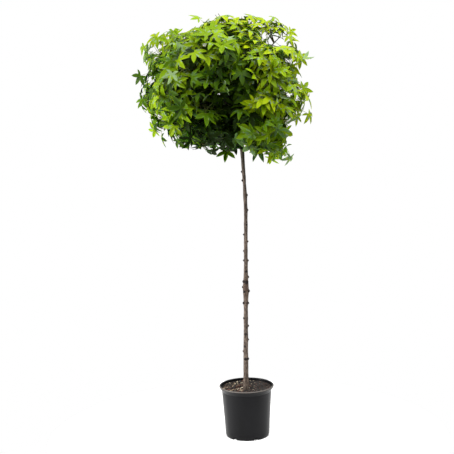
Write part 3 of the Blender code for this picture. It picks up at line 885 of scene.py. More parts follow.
KNOTS = tuple(Knot(*row) for row in (
    (0.373, 262.0, 0.0100), (0.408, 184.0, 0.0060), (0.464, 2.0, 0.0060), (0.531, 350.0, 0.0070),
    (0.642, 330.0, 0.0085), (0.642, 205.0, 0.0085), (0.700, 345.0, 0.0100), (0.718, 170.0, 0.0090),
    (0.744, 285.0, 0.0120), (0.766, 10.0, 0.0080), (0.768, 95.0, 0.0090), (0.845, 176.0, 0.0060),
    (0.890, 188.0, 0.0055), (0.935, 4.0, 0.0055), (0.968, 190.0, 0.0060), (1.015, 300.0, 0.0065),
    (1.083, 356.0, 0.0065), (1.153, 8.0, 0.0075), (1.222, 186.0, 0.0070), (1.262, 172.0, 0.0070),
))
# Lower scars between the stubs: too fine for the solid, so only the looks carry them
SCARS = tuple(Knot(*row) for row in (
    (0.373, 318.0, 0.0095), (0.433, 243.0, 0.0075), (0.493, 262.0, 0.0085), (0.569, 212.0, 0.0070),
    (0.698, 232.0, 0.0080), (0.746, 216.0, 0.0095), (0.795, 276.0, 0.0085), (0.845, 350.0, 0.0070),
))


@dataclass
class Stem:
    """The bare trunk: its flare, bow and taper, the relief of its bark and the stubs of shed shoots."""

    foot: float = 0.2223
    top: float = 1.600
    foot_radius: float = 0.0103
    neck_radius: float = 0.0083
    neck_height: float = 1.250
    tip_radius: float = 0.0050
    flare: float = 0.0037
    flare_fade: float = 0.160
    bow_foot: float = -0.003
    bow_out: float = 0.0187
    bow_height: float = 1.060
    bow_back: float = 0.0147
    bow_power: float = 1.8
    head_height: float = 1.433
    sway: float = 0.003
    sway_half_wave: float = 0.47
    knotty_height: float = 0.705
    knotty_spread: float = 0.060
    knotty_swell: float = 0.0036
    graft_height: float = 1.400
    graft_spread: float = 0.060
    graft_swell: float = 0.0028
    sides: int = 36
    step: float = 0.0030
    # The bark's lumps, ridges and fissures: how high they are, and how many go to a metre round the
    # stem and along it
    lump: float = 0.0014
    lump_scale: Range = (60.0, 22.0)
    ridge: float = 0.00045
    ridge_scale: Range = (420.0, 45.0)
    fissure: float = 0.00030
    fissure_scale: Range = (700.0, 160.0)
    # The collar round a knot: how high it is, how far it spreads and how much taller than wide it is
    collar: float = 0.0019
    collar_spread: float = 0.75
    collar_squat: float = 0.6
    collar_reach: float = 3.0
    # The stub in a knot: it stands up by stub_rise, and its cut end is rounded off
    stub_seat: float = 0.001
    stub_rise: float = 0.45
    stub_length: float = 0.0036
    stub_width_share: float = 0.28
    # Its places along the run, with its radius there as a share of the knot's width
    stub_shape: tuple[Range, ...] = ((0.0, 0.84), (0.35, 0.72), (0.7, 0.62), (0.9, 0.54), (1.0, 0.40))
    stub_sides: int = 10
    stub_rough: float = 0.0009
    stub_rough_scale: float = 600.0
    stub_lobes: float = 0.0003
    finish: YoungBark = field(default_factory=YoungBark)
    stub_finish: DriedStub = field(default_factory=DriedStub)

    def middle(self, height: float) -> Vector:
        """The middle of the trunk at a height: it leans right of the pot, then bends back left.

        Args:
            height: the height.

        Returns:
            The point.
        """
        rise = min(1.0, (height - self.foot) / (self.bow_height - self.foot))
        x = self.bow_foot + self.bow_out * rise
        if height > self.bow_height:
            back = (height - self.bow_height) / (self.head_height - self.bow_height)
            x -= self.bow_back * back**self.bow_power
        y = self.sway * math.sin(math.pi * (height - self.foot) / self.sway_half_wave)
        return Vector((x, y, height))

    def radius(self, height: float) -> float:
        """The trunk's radius: a slow taper, the flare, the knotty stretch and the graft.

        Args:
            height: the height.

        Returns:
            The radius.
        """
        if height < self.neck_height:
            share = (height - self.foot) / (self.neck_height - self.foot)
            radius = self.foot_radius + (self.neck_radius - self.foot_radius) * share
        else:
            share = (height - self.neck_height) / (self.top - self.neck_height)
            radius = self.neck_radius + (self.tip_radius - self.neck_radius) * share**2
        radius += self.flare * math.exp(-(height - self.foot) / self.flare_fade)
        for middle, spread, swell in ((self.knotty_height, self.knotty_spread, self.knotty_swell),
                                      (self.graft_height, self.graft_spread, self.graft_swell)):
            radius += swell * math.exp(-(((height - middle) / spread) ** 2))
        return radius

    def bark(self, point: Vector) -> float:
        """What the bark stands out by: lumps, ridges along the stem and fine fissures.

        Args:
            point: the place on the stem.

        Returns:
            The lift.
        """
        lump, ridge, crack = (
            noise.noise(Vector((point.x * around, point.y * around, point.z * along)))
            for around, along in (self.lump_scale, self.ridge_scale, self.fissure_scale))
        return self.lump * lump + self.ridge * ridge - self.fissure * abs(crack)

    def knot_relief(self, knot: Knot, point: Vector) -> float:
        """What the collar round a knot stands out by.

        Args:
            knot: the knot.
            point: the place on the stem.

        Returns:
            The lift.
        """
        gap = point - (self.middle(knot.height) + knot.way * self.radius(knot.height))
        far = math.sqrt(gap.x**2 + gap.y**2 + (self.collar_squat * gap.z) ** 2) / knot.width
        return self.collar * math.exp(-((far / self.collar_spread) ** 2))

    def relief(self, _: float, point: Vector) -> float:
        """All that the stem's surface stands out by at a point, whatever the angle round it."""
        near = (knot for knot in KNOTS + SCARS
                if abs(knot.height - point.z) < self.collar_reach * knot.width)
        return sum((self.knot_relief(knot, point) for knot in near), self.bark(point))

    def stub(self, knot: Knot) -> Form:
        """The dead end of a side shoot, which stands up and out of its collar.

        Args:
            knot: the knot that it stands in.

        Returns:
            Its points and faces.
        """
        way = (knot.way + UP * self.stub_rise).normalized()
        start = self.middle(knot.height) + knot.way * (self.radius(knot.height) - self.stub_seat)
        end = start + way * (self.stub_length + self.stub_width_share * knot.width)

        def rough(angle: float, point: Vector) -> float:
            """The torn, three-sided surface of dead wood."""
            torn = noise.noise(point * self.stub_rough_scale)
            return self.stub_rough * torn + self.stub_lobes * math.sin(3.0 * angle)

        return tube([start.lerp(end, t) for t, _ in self.stub_shape],
                    [knot.width * share for _, share in self.stub_shape], self.stub_sides, rough)

    def build(self, material: bpy.types.Material) -> None:
        """Makes the stem and its stubs and ties them to the frame.

        Args:
            material: the stem's bark.
        """
        count = round((self.top - self.foot) / self.step)
        heights = [self.foot + (self.top - self.foot) * k / count for k in range(count + 1)]
        joined = JoinedMesh("stem", [material])
        joined.add(tube([self.middle(z) for z in heights], [self.radius(z) for z in heights], self.sides,
                        self.relief))
        settle(joined.build(), ["trunk"])
        stubs = JoinedMesh("shoot_stubs", [self.stub_finish.material()])
        for knot in KNOTS + SCARS:
            stubs.add(self.stub(knot))
        settle(stubs.build(crease_deg=50.0))


CROWN_CENTRE = Vector((-0.056, 0.0, 1.650))
CROWN_HALF = Vector((0.420, 0.420, 0.335))


@dataclass(frozen=True)
class Mass:
    """One mass of foliage: where it lies on the crown, how far it reaches and how full it is."""

    name: str
    azimuth: float
    elevation: float
    reach: float
    start: float = 0.40
    leaves: int = 175

    @property
    def unit(self) -> Vector:
        """The way to the mass on the unit ball."""
        az, el = math.radians(self.azimuth), math.radians(self.elevation)
        return Vector((math.cos(el) * math.cos(az), math.cos(el) * math.sin(az), math.sin(el)))

    def at(self, share: float) -> Vector:
        """The point at a share of the crown's own radius, towards the mass."""
        return CROWN_CENTRE + self.unit * share * CROWN_HALF


# Rings of masses: name, azimuth of the first, then the elevation and reach of each in turn
RINGS = (
    ("lower", 314.0, ((-54.0, 1.24), (-45.0, 1.04), (-55.0, 1.02), (-43.0, 1.08), (-56.0, 1.04))),
    ("middle", 2.0, ((-14.0, 1.04), (5.0, 1.00), (-12.0, 1.02), (-3.0, 1.04), (-13.0, 1.01), (5.0, 1.00))),
    ("upper", 36.0, ((36.0, 0.95), (27.0, 1.00), (38.0, 1.10), (26.0, 1.02), (36.0, 0.98))),
)
CROWN_TOP = Mass("top", 330.0, 84.0, 1.03)
ARCHING_SPRAY = Mass("arching_spray", 358.0, 48.0, 1.09, start=0.70, leaves=46)


@dataclass(frozen=True)
class Swell:
    """A cape of the crown's outline where it rises, or a bay where its rise is less than nothing."""

    angle_deg: float
    width_deg: float
    rise: float

    def at(self, degrees: np.ndarray) -> np.ndarray:
        """How much it adds to the outline at angles from the right of the crown, up being 90."""
        apart = (degrees - self.angle_deg + 180.0) % 360.0 - 180.0
        return self.rise * np.exp(-(apart / self.width_deg) ** 2)


OUTLINE = (
    Swell(-144.0, 14.0, 0.07),
    Swell(-98.0, 20.0, -0.11),
    Swell(-62.0, 16.0, 0.18),
    Swell(-37.0, 7.0, -0.08),
    Swell(10.0, 12.0, -0.17),
    Swell(56.0, 12.0, 0.05),
    Swell(82.0, 12.0, 0.05),
    Swell(105.0, 12.0, 0.06),
    Swell(122.0, 6.0, -0.03),
    Swell(147.0, 9.0, 0.09),
)


@dataclass(frozen=True)
class Opening:
    """A rounded room in the crown that no leaf grows into."""

    centre: tuple[float, float, float]
    half: tuple[float, float, float]

    def meets(self, points: np.ndarray) -> bool:
        """Whether any of the points lies in it."""
        return bool(((((points - self.centre) / self.half) ** 2).sum(axis=1) < 1.0).any())


@dataclass(frozen=True)
class SkyGap:
    """A small gap that the viewer sees the sky through, placed in the plane of the stem."""

    x: float
    z: float
    radius: float

    def marks(self) -> list[Range]:
        """Its middle and four points on its edge."""
        return [(self.x + a * self.radius, self.z + b * self.radius)
                for a, b in ((0, 0), (1, 0), (-1, 0), (0, 1), (0, -1))]


EYE = Vector((0.0, -5.0, 1.68))
# Under the arching spray, then on the right and on the left, and last the bare top of the stem
SKY_GAPS = (
    SkyGap(0.090, 1.925, 0.018), SkyGap(0.120, 1.885, 0.015), SkyGap(0.150, 1.875, 0.022),
    SkyGap(0.185, 1.865, 0.030), SkyGap(0.220, 1.770, 0.010), SkyGap(0.190, 1.640, 0.008),
    SkyGap(0.225, 1.610, 0.008), SkyGap(0.260, 1.600, 0.009), SkyGap(0.300, 1.565, 0.012),
    SkyGap(0.215, 1.505, 0.017), SkyGap(0.230, 1.390, 0.014), SkyGap(0.050, 1.820, 0.010),
    SkyGap(-0.155, 1.845, 0.008), SkyGap(-0.370, 1.815, 0.016), SkyGap(-0.400, 1.700, 0.011),
    SkyGap(-0.375, 1.530, 0.010), SkyGap(-0.355, 1.460, 0.018), SkyGap(-0.370, 1.430, 0.015),
    SkyGap(-0.335, 1.430, 0.014), SkyGap(-0.290, 1.435, 0.011), SkyGap(0.006, 1.350, 0.012),
)
GAP_MARKS = np.array([mark for gap in SKY_GAPS for mark in gap.marks()])
# The dim hollow at the front, and the sky under the arching spray
OPENINGS = (
    Opening((-0.085, -0.40, 1.572), (0.085, 0.110, 0.055)),
    Opening((0.180, -0.05, 1.858), (0.055, 0.400, 0.036)),
)


@dataclass(frozen=True)
class Leader:
    """A long shoot that stands out of the crown, with young leaves smaller than the rest."""

    mass: str
    bend: tuple[float, float, float]
    tip: tuple[float, float, float]
    leaves: int = 5
    leaf_share: float = 0.78


LEADERS = (
    Leader("upper_3", (-0.27, -0.04, 1.940), (-0.380, -0.07, 1.870), 7),
    Leader("upper_3", (-0.22, -0.03, 1.930), (-0.300, -0.06, 1.890), 4),
    Leader("top", (-0.11, -0.02, 1.960), (-0.165, -0.03, 1.930), 7),
    Leader("top", (0.02, 0.00, 1.950), (0.060, -0.02, 1.945), 7),
    Leader("arching_spray", (0.12, -0.01, 1.995), (0.225, -0.03, 1.875), 12, 0.66),
    Leader("arching_spray", (0.09, -0.02, 1.970), (0.150, -0.04, 1.930), 7, 0.66),
    Leader("upper_5", (0.19, -0.12, 1.820), (0.262, -0.13, 1.775), 6),
    Leader("middle_1", (0.22, -0.05, 1.650), (0.272, -0.06, 1.605), 6),
    Leader("middle_1", (0.20, -0.08, 1.580), (0.265, -0.09, 1.545), 6),
    Leader("lower_1", (0.13, -0.14, 1.420), (0.120, -0.14, 1.362), 5),
    Leader("lower_1", (0.19, -0.12, 1.430), (0.205, -0.12, 1.380), 5),
    Leader("middle_4", (-0.34, -0.04, 1.750), (-0.405, -0.05, 1.725), 5),
    Leader("middle_4", (-0.34, -0.04, 1.660), (-0.405, -0.06, 1.630), 5),
    Leader("lower_4", (-0.32, -0.05, 1.540), (-0.365, -0.07, 1.480), 5),
    Leader("lower_4", (-0.26, -0.05, 1.450), (-0.290, -0.07, 1.405), 4),
    Leader("lower_5", (-0.13, -0.12, 1.430), (-0.145, -0.13, 1.395), 4),
    Leader("lower_5", (-0.07, -0.10, 1.430), (-0.060, -0.11, 1.385), 5),
)


def crown_masses() -> list[Mass]:
    """All masses, from the lowest ring up."""
    found = []
    for ring, first, members in RINGS:
        step = 360.0 / len(members)
        for k, (elevation, reach) in enumerate(members):
            found.append(Mass(f"{ring}_{k + 1}", first + step * k, elevation, reach))
    return found + [ARCHING_SPRAY, CROWN_TOP]


MASSES = crown_masses()


@dataclass
class Boughs:
    """The main boughs, which leave the trunk at the graft and each carry one mass."""

    stem: Stem
    radius: float = 0.0052
    high_radius: float = 0.0038
    tip_radius: float = 0.0030
    first_height: float = 1.415
    last_height: float = 1.585
    bend_out: float = 0.45
    bend_lift: float = 0.42
    bend_rise: float = 0.35
    stations: int = 26
    sides: int = 12
    collar: float = 0.0022
    collar_run: float = 0.012
    # How rough their bark is against the stem's
    bark_share: float = 0.45

    def order(self) -> list[Mass]:
        """The order in which the boughs leave the trunk.

        Returns:
            Their masses, lowest first, and in each ring every other one before the rest.
        """
        order = []
        for ring, _, _ in RINGS:
            members = [m for m in MASSES if m.name.startswith(ring)]
            order += members[0::2] + members[1::2]
        return order + [ARCHING_SPRAY, CROWN_TOP]

    def route(self, mass: Mass, height: float) -> list[Vector]:
        """The run of a bough: out of the trunk's middle, bending over to the heart of its mass.

        Args:
            mass: the mass that it carries.
            height: where it leaves the trunk.

        Returns:
            The points of its middle line.
        """
        root = self.stem.middle(height)
        tip = mass.at(mass.start)
        side = Vector((tip.x - root.x, tip.y - root.y, 0.0))
        lift = self.bend_lift * side.length + self.bend_rise * max(0.0, tip.z - root.z)
        return bezier(root, root + side * self.bend_out + UP * lift, tip, self.stations)

    def build(self, material: bpy.types.Material) -> dict[str, tuple[Vector, Vector]]:
        """Makes the boughs and ties them to the frame.

        Args:
            material: their bark.

        Returns:
            The tip of each bough and the way that it ends, by the name of its mass.
        """
        joined = JoinedMesh("boughs", [material])
        ends = {}
        order = self.order()
        for k, mass in enumerate(order):
            rise = k / (len(order) - 1)
            height = self.first_height + (self.last_height - self.first_height) * rise
            thick = self.radius + (self.high_radius - self.radius) * rise
            route = self.route(mass, height)
            radii = []
            for i, point in enumerate(route):
                share = i / (len(route) - 1)
                out = max(0.0, (point - route[0]).length - self.stem.radius(height))
                radii.append(thick + (self.tip_radius - thick) * share
                             + self.collar * math.exp(-out / self.collar_run))
            joined.add(tube(route, radii, self.sides, lambda _, p: self.bark_share * self.stem.bark(p)))
            ends[mass.name] = (route[-1], (route[-1] - route[-2]).normalized())
        settle(joined.build(), [f"bough_{m.name}" for m in MASSES])
        return ends


def polar(angle_deg: float, far: float) -> Range:
    """The point of a flat leaf at an angle from its midrib and a distance from its base."""
    angle = math.radians(angle_deg)
    return (far * math.cos(angle), far * math.sin(angle))


@dataclass(frozen=True)
class Lobe:
    """One lobe of the leaf: its angle from the midrib and its length in shares of the leaf's."""

    angle_deg: float
    length: float
    # Places along the lobe, as shares of its length, and half its width there
    stations: tuple[Range, ...] = ((0.52, 0.170), (0.78, 0.112))


BASE_LOBE = ((0.52, 0.100), (0.78, 0.066))


@dataclass(frozen=True)
class BladeShape:
    """The five-lobed blade, in shares of its length."""

    lobes: tuple[Lobe, ...] = (Lobe(-107.0, 0.64, BASE_LOBE), Lobe(-52.0, 0.93), Lobe(0.0, 1.00),
                               Lobe(52.0, 0.93), Lobe(107.0, 0.64, BASE_LOBE))
    notches: tuple[Range, ...] = ((-79.0, 0.30), (-26.0, 0.39), (26.0, 0.39), (79.0, 0.30))
    hub: float = 0.05
    base_half_width: float = 0.020
    thickness: float = 0.011
    # How fast a blade that droops draws in
    draw_in: float = 1.2


class Blade:
    """The mesh of one leaf in its own frame, ready to be bent and placed."""

    def __init__(self, shape: BladeShape) -> None:
        """Lays out the rim, the veins and the faces of both sides.

        Args:
            shape: the blade's outline and thickness.
        """
        self.shape = shape
        rim: list[Range] = [(0.0, -shape.base_half_width)]
        rim_lobe = [0]
        veins: list[Range] = [(shape.hub, 0.0)]
        vein_lobe = [len(shape.lobes) // 2]
        self.corners = [0]
        lobe_marks = []
        for n, lobe in enumerate(shape.lobes):
            along = polar(lobe.angle_deg, 1.0)
            beside = (-along[1], along[0])
            right, left, mid = [], [], []
            for share, half in lobe.stations:
                far = share * lobe.length
                right.append((far * along[0] - half * beside[0], far * along[1] - half * beside[1]))
                left.append((far * along[0] + half * beside[0], far * along[1] + half * beside[1]))
                mid.append((far * along[0], far * along[1]))
            first = len(rim)
            rim += right + [(lobe.length * along[0], lobe.length * along[1])] + left[::-1]
            rim_lobe += [n] * (2 * len(lobe.stations) + 1)
            self.corners.append(first + len(right))
            lobe_marks.append((first, len(veins), len(lobe.stations)))
            veins += mid
            vein_lobe += [n] * len(mid)
            if n < len(shape.notches):
                self.corners.append(len(rim))
                rim.append(polar(*shape.notches[n]))
                rim_lobe.append(n)
        self.corners.append(len(rim))
        rim.append((0.0, shape.base_half_width))
        rim_lobe.append(len(shape.lobes) - 1)
        self.rim_count = len(rim)
        self.vein_count = len(veins)
        self.flat = np.array(rim + veins + veins)
        self.lobe = np.array(rim_lobe + vein_lobe + vein_lobe)
        half = 0.5 * shape.thickness
        self.lift = np.array([0.0] * len(rim) + [half] * len(veins) + [-half] * len(veins))
        own = np.radians([lobe.angle_deg for lobe in shape.lobes])[self.lobe]
        self.off_vein = np.abs(-self.flat[:, 0] * np.sin(own) + self.flat[:, 1] * np.cos(own))
        self.off_vein[len(rim):] = 0.0
        self.far = np.hypot(self.flat[:, 0], self.flat[:, 1])
        self.faces = self.side_faces(lobe_marks, True) + self.side_faces(lobe_marks, False)
        self.side_count = len(self.faces) // 2
        # A fan from the hub over the tips and notches stands for the blade where leaves are kept apart
        self.coarse = [self.rim_count] + self.corners
        self.coarse_faces = [(0, i, i + 1) for i in range(1, len(self.corners))]

    def side_faces(self, marks: list[tuple[int, int, int]], upper: bool) -> list[Face]:
        """The faces of one side, from the hub out along each lobe.

        Args:
            marks: of each lobe, its first point on the rim, its first vein point and its stations.
            upper: whether it is the upper side.

        Returns:
            The faces.
        """
        hub = self.rim_count + (0 if upper else self.vein_count)
        faces: list[Face] = []
        for first, vein, steps in marks:
            tip = first + steps
            mids = [hub] + [hub + vein + i for i in range(steps)]
            right = [first - 1] + [first + i for i in range(steps)]
            left = [tip + steps + 1] + [tip + steps - i for i in range(steps)]
            for i in range(steps):
                faces.append((mids[i], right[i], right[i + 1], mids[i + 1]))
                faces.append((mids[i], mids[i + 1], left[i + 1], left[i]))
            faces.append((mids[-1], right[-1], tip))
            faces.append((mids[-1], tip, left[-1]))
        faces.append((hub, self.rim_count - 1, 0))
        return faces if upper else [tuple(reversed(face)) for face in faces]

    def placed(self, leaf: "Leaf") -> np.ndarray:
        """Bends and places the blade: folded along its veins and drooping to its tips.

        Args:
            leaf: how it stands.

        Returns:
            Its points.
        """
        u, v = self.flat[:, 0], self.flat[:, 1]
        bend = np.array(leaf.bends)[self.lobe]
        lift = (self.lift + leaf.fold * self.off_vein - (leaf.droop + bend) * self.far**2
                - leaf.roll * v * v)
        # A bent blade reaches less far, so its points draw in as they leave the flat
        short = 1.0 / np.sqrt(1.0 + (self.shape.draw_in * leaf.droop * self.far) ** 2)
        midrib, normal = np.array(leaf.midrib), np.array(leaf.normal)
        left = np.array(leaf.normal.cross(leaf.midrib))
        local = np.outer(u * short, midrib) + np.outer(v * short, left) + np.outer(lift, normal)
        return np.array(leaf.base) + local * leaf.length


@dataclass
class Leaf:
    """Where and how one leaf stands."""

    node: Vector
    base: Vector
    midrib: Vector
    normal: Vector
    length: float
    fold: float
    droop: float
    roll: float
    bends: tuple[float, ...]
    tint: int = 0


@dataclass
class Twig:
    """The run of one twig, its radius at each point and how many sides it has."""

    route: list[Vector]
    radii: list[float]
    sides: int


@dataclass
class Share:
    """The share of the crown that belongs to one mass. Reaches are shares of the crown's own radius."""

    mass: Mass
    # How far, in metres, its foliage keeps from each neighbour's: less than nothing lets it mingle
    seam: float = -0.045
    # How far the domed outer face falls by dome_deg from the mass's own way
    dome_drop: float = 0.095
    dome_deg: float = 40.0
    dome_spare: float = 0.02
    # The share of the mass's start that its foliage keeps out of
    inner: float = 0.50
    # How much longer or shorter its shoots are from place to place, and the size of such a place
    rough: float = 0.24
    rough_size: float = 0.085
    # The crown's edge as the viewer sees it and from the side, and how ragged it is
    edge: float = 0.99
    side_edge: float = 0.98
    side_squat: float = 0.75
    ragged: float = 0.15
    ragged_size: float = 0.055
    # How far sprays keep inside that edge, and how far a leader may stand out of it
    inset: float = 0.08
    leader_spare: float = 0.05
    # Where the open rim begins, how much of it is leafy and the size of its openings
    rim_from: float = 0.70
    rim_level: float = 0.14
    rim_size: float = 0.07
    rim_squat: float = 0.3
    # How far past the solids' box a leaf may reach: a share of the box's side and a length
    box_share: float = 0.03
    box_spare: float = 0.006

    def __post_init__(self) -> None:
        """Works out the box and the walls to the neighbours."""
        low, high = (np.array(corner) for corner in CAD_BOX)
        spare = self.box_share * (high - low) + self.box_spare
        self.low, self.high = low - spare, high + spare
        self.drop = self.dome_drop / math.radians(self.dome_deg) ** 2
        self.most = self.mass.reach + self.dome_spare
        self.least = self.inner * self.mass.start
        self.centre = np.array(CROWN_CENTRE)
        self.half = np.array(CROWN_HALF)
        self.unit = np.array(self.mass.unit)
        walls = [(self.unit - np.array(m.unit)) / self.half for m in MASSES if m is not self.mass]
        self.walls = np.array([w / np.linalg.norm(w) for w in walls])

    def holds_leader(self, points: np.ndarray) -> bool:
        """Whether a leader's leaf keeps inside the box and near enough to the crown's outline.

        Args:
            points: the leaf's points.

        Returns:
            Whether all of them do.
        """
        if (points < self.low).any() or (points > self.high).any():
            return False
        return not self.past_outline(points, self.leader_spare)

    def past_outline(self, points: np.ndarray, spare: float) -> bool:
        """Whether something stands out of the crown's outline.

        Args:
            points: its points.
            spare: how far it may stand out.

        Returns:
            Whether any point lies farther out, as the viewer sees it or from the side.
        """
        ball = (points - self.centre) / self.half
        ragged = self.ragged * noise.noise(Vector(points[0]) * (1.0 / self.ragged_size))
        degrees = np.degrees(np.arctan2(ball[:, 2], ball[:, 0]))
        most = self.edge + spare + ragged + sum(swell.at(degrees) for swell in OUTLINE)
        seen = np.hypot(ball[:, 0], ball[:, 2])
        from_side = np.hypot(ball[:, 1], self.side_squat * ball[:, 2])
        return bool((seen > most).any() or (from_side > self.side_edge + ragged).any())

    def holds(self, points: np.ndarray) -> bool:
        """Whether something lies in this share, under its rough domed outer face.

        Args:
            points: its points.

        Returns:
            Whether all of them do.
        """
        if not self.holds_leader(points) or any(opening.meets(points) for opening in OPENINGS):
            return False
        out = points - self.centre
        if (out @ self.walls.T < self.seam).any():
            return False
        ball = out / self.half
        far = np.linalg.norm(ball, axis=1)
        if (far < self.least).any() or self.past_outline(points, -self.inset):
            return False
        angle = np.arccos(np.clip(ball @ self.unit / far, -1.0, 1.0))
        rough = self.rough * noise.noise(Vector(points[0]) * (1.0 / self.rough_size))
        return bool((far <= self.most + rough - self.drop * angle**2).all())

    def stands_open(self, point: Vector) -> bool:
        """Whether the crown's rim is open, so that the sky shows between its sprays.

        Args:
            point: the place.

        Returns:
            Whether it is open there.
        """
        ball = depth_of(point)
        if math.hypot(ball.x, ball.z) < self.rim_from:
            return False
        place = Vector((point.x, self.rim_squat * point.y, point.z)) * (1.0 / self.rim_size)
        return noise.noise(place) > self.rim_level

    @staticmethod
    def covers_gap(points: np.ndarray) -> bool:
        """Whether a blade hides part of a gap in the crown from the viewer.

        Args:
            points: the blade's fan, its hub first.

        Returns:
            Whether a mark of any gap lies behind one of its triangles.
        """
        eye = np.array((EYE.x, EYE.z))
        scale = EYE.y / (EYE.y - points[:, 1])
        flat = eye + (points[:, [0, 2]] - eye) * scale[:, None]
        marks = GAP_MARKS[((GAP_MARKS > flat.min(axis=0)) & (GAP_MARKS < flat.max(axis=0))).all(axis=1)]
        if not len(marks):
            return False
        first, second = flat[1:-1], flat[2:]
        hub = np.broadcast_to(flat[0], first.shape)
        turns = []
        for a, b in ((hub, first), (first, second), (second, hub)):
            side, out = b - a, marks[:, None, :] - a[None, :, :]
            turns.append(side[None, :, 0] * out[:, :, 1] - side[None, :, 1] * out[:, :, 0])
        inside = (np.array(turns) > 0.0).all(axis=0) | (np.array(turns) < 0.0).all(axis=0)
        return bool(inside.any())

    def outward(self, point: Vector) -> Vector:
        """The crown's outward direction at a point."""
        out = np.array(point) - self.centre
        return Vector(out / self.half**2).normalized()


def depth_of(point: Vector) -> Vector:
    """The point on the unit ball of the crown: its length is 0 at the centre and about 1 at the skin."""
    out = point - CROWN_CENTRE
    return Vector(o / h for o, h in zip(out, CROWN_HALF))


@dataclass(frozen=True)
class Daylight:
    """How much light reaches a place in the crown. It falls from above and the right, as in the photo.

    Each number says what the light gains with a place's height, side or nearness to the skin, all
    measured on the crown's unit ball.
    """

    # These numbers paint light and shade into the leaves: they pick each spray's base colour, lighter above
    # and on the right, darker underneath and inside
    level: float = 0.04
    up: float = 0.45
    right: float = 0.80
    upper_right: float = 0.5
    upper_from: float = 0.5
    lower_side: float = 0.6
    # The underside is dark, most of all round the stem
    underside: float = 2.2
    underside_fade: float = 1.7
    skin: float = 2.8
    skin_from: float = 0.80
    # Painted light: leaves near the crown's outline, as the viewer sees it, are lighter
    rim: float = 1.7
    rim_from: float = 0.50
    scatter: float = 0.30
    # A spray takes the first tint whose light it reaches, else the darkest
    steps: tuple[float, ...] = (1.05, 0.62, 0.22, -0.20, -0.75)

    def tint(self, point: Vector, chance: random.Random) -> int:
        """Deals out a spray's tint by the light that reaches it.

        Args:
            point: the spray's place.
            chance: what scatters the light a little.

        Returns:
            The number of the tint, from the palest.
        """
        ball = depth_of(point)
        low, beside = max(0.0, -ball.z), abs(ball.x)
        rim = math.hypot(ball.x, max(0.0, ball.z))
        light = self.level + self.up * ball.z + self.right * ball.x
        light += self.upper_right * max(0.0, ball.x) * max(0.0, ball.z + self.upper_from)
        light += self.lower_side * low * beside
        light -= self.underside * low * max(0.0, 1.0 - self.underside_fade * beside)
        light += self.skin * (ball.length - self.skin_from)
        light += self.rim * (rim - self.rim_from)
        light += chance.gauss(0.0, self.scatter)
        return sum(light < step for step in self.steps)


@dataclass
class GrowthRule:
    """The rule that every mass grows by: its numbers are the plant's habit.

    Lengths are in metres, and shares are of the twig or leaf that they belong to.
    """

    # The stem of a mass, which goes on from its bough
    stem_reach: float = 0.80
    stem_follow: float = 0.35
    stem_foot: float = 0.012
    stem_seat: float = 0.004
    stem_radius: float = 0.0030
    stem_taper: float = 0.4
    stem_leaves: int = 3
    stem_sides: int = 8
    # Side twigs and the finer twigs on them
    side_twigs: int = 16
    first_twig: float = 0.10
    twig_run: float = 0.84
    twig_length: float = 0.165
    twig_length_loss: float = 0.075
    twig_size: Range = (0.85, 1.1)
    twig_radius: float = 0.0021
    twig_taper: float = 0.38
    twig_rise: float = 0.10
    twig_wander: float = 0.05
    twig_sag: float = 0.04
    twig_lean: float = math.radians(68.0)
    twig_lean_loss: float = math.radians(26.0)
    lean_size: Range = (0.8, 1.15)
    twig_leaves: int = 4
    twig_points: int = 6
    twig_sides: int = 6
    turn_spread: float = 0.28
    twig_tries: int = 16
    shorten: float = 0.03
    finer_twigs: int = 3
    finer_first: float = 0.35
    finer_run: float = 0.5
    finer_length: float = 0.075
    finer_size: Range = (0.7, 1.15)
    finer_radius: float = 0.0014
    finer_lean: float = math.radians(48.0)
    finer_leaves: int = 2
    finer_sides: int = 5
    limb_gap: float = 0.003
    # Leaders leave the stem low down and taper by this share at each of their points
    leader_foot: float = 0.3
    leader_points: int = 10
    leader_taper: float = 0.05
    # The way that the blades on a leader turn
    leader_face: Vector = field(default_factory=lambda: Vector((0.0, -0.7, 0.0)))
    # Leaves stand from near the tip back
    leaves_from: float = 0.97
    leaves_run: float = 0.66
    leaf_length: float = 0.078
    leaf_size: Range = (0.80, 1.12)
    leaf_tries: int = 26
    # A leaf that has found no room in so many tries stays smaller
    cramped_after: int = 13
    cramped: float = 0.86
    petiole_length: float = 0.054
    petiole_size: Range = (0.55, 1.25)
    petiole_radius: float = 0.00095
    petiole_sides: int = 4
    stalk_along: float = 0.55
    stalk_out: float = 0.85
    stalk_up: float = 0.10
    face_out: float = 0.75
    face_up: float = 0.55
    face_loose: float = 0.26
    hang: float = 0.45
    hang_loose: float = 0.5
    least_hang: float = 0.2
    least_follow: float = 0.1
    loose: float = 0.22
    loose_step: float = 0.02
    lobe_bend: float = 0.10
    fold: Range = (0.18, 0.50)
    droop: Range = (0.05, 0.42)
    roll: Range = (-0.10, 0.30)
    # How far a leaf's tint may be off its spray's
    tint_steps: tuple[int, ...] = (-1, 0, 0, 0, 1)
    # The share of leaves that have turned over and show their paler underside
    turned: float = 0.06
    # Turned leaves are painted light above this place on the crown's height and shaded below it
    turned_pale_from: float = -0.06
    # Only this much of a blade keeps clear of the others, so tips may cross as they do in a dense crown
    core: float = 0.80
    blade_middle: float = 0.40
    light: Daylight = Daylight()


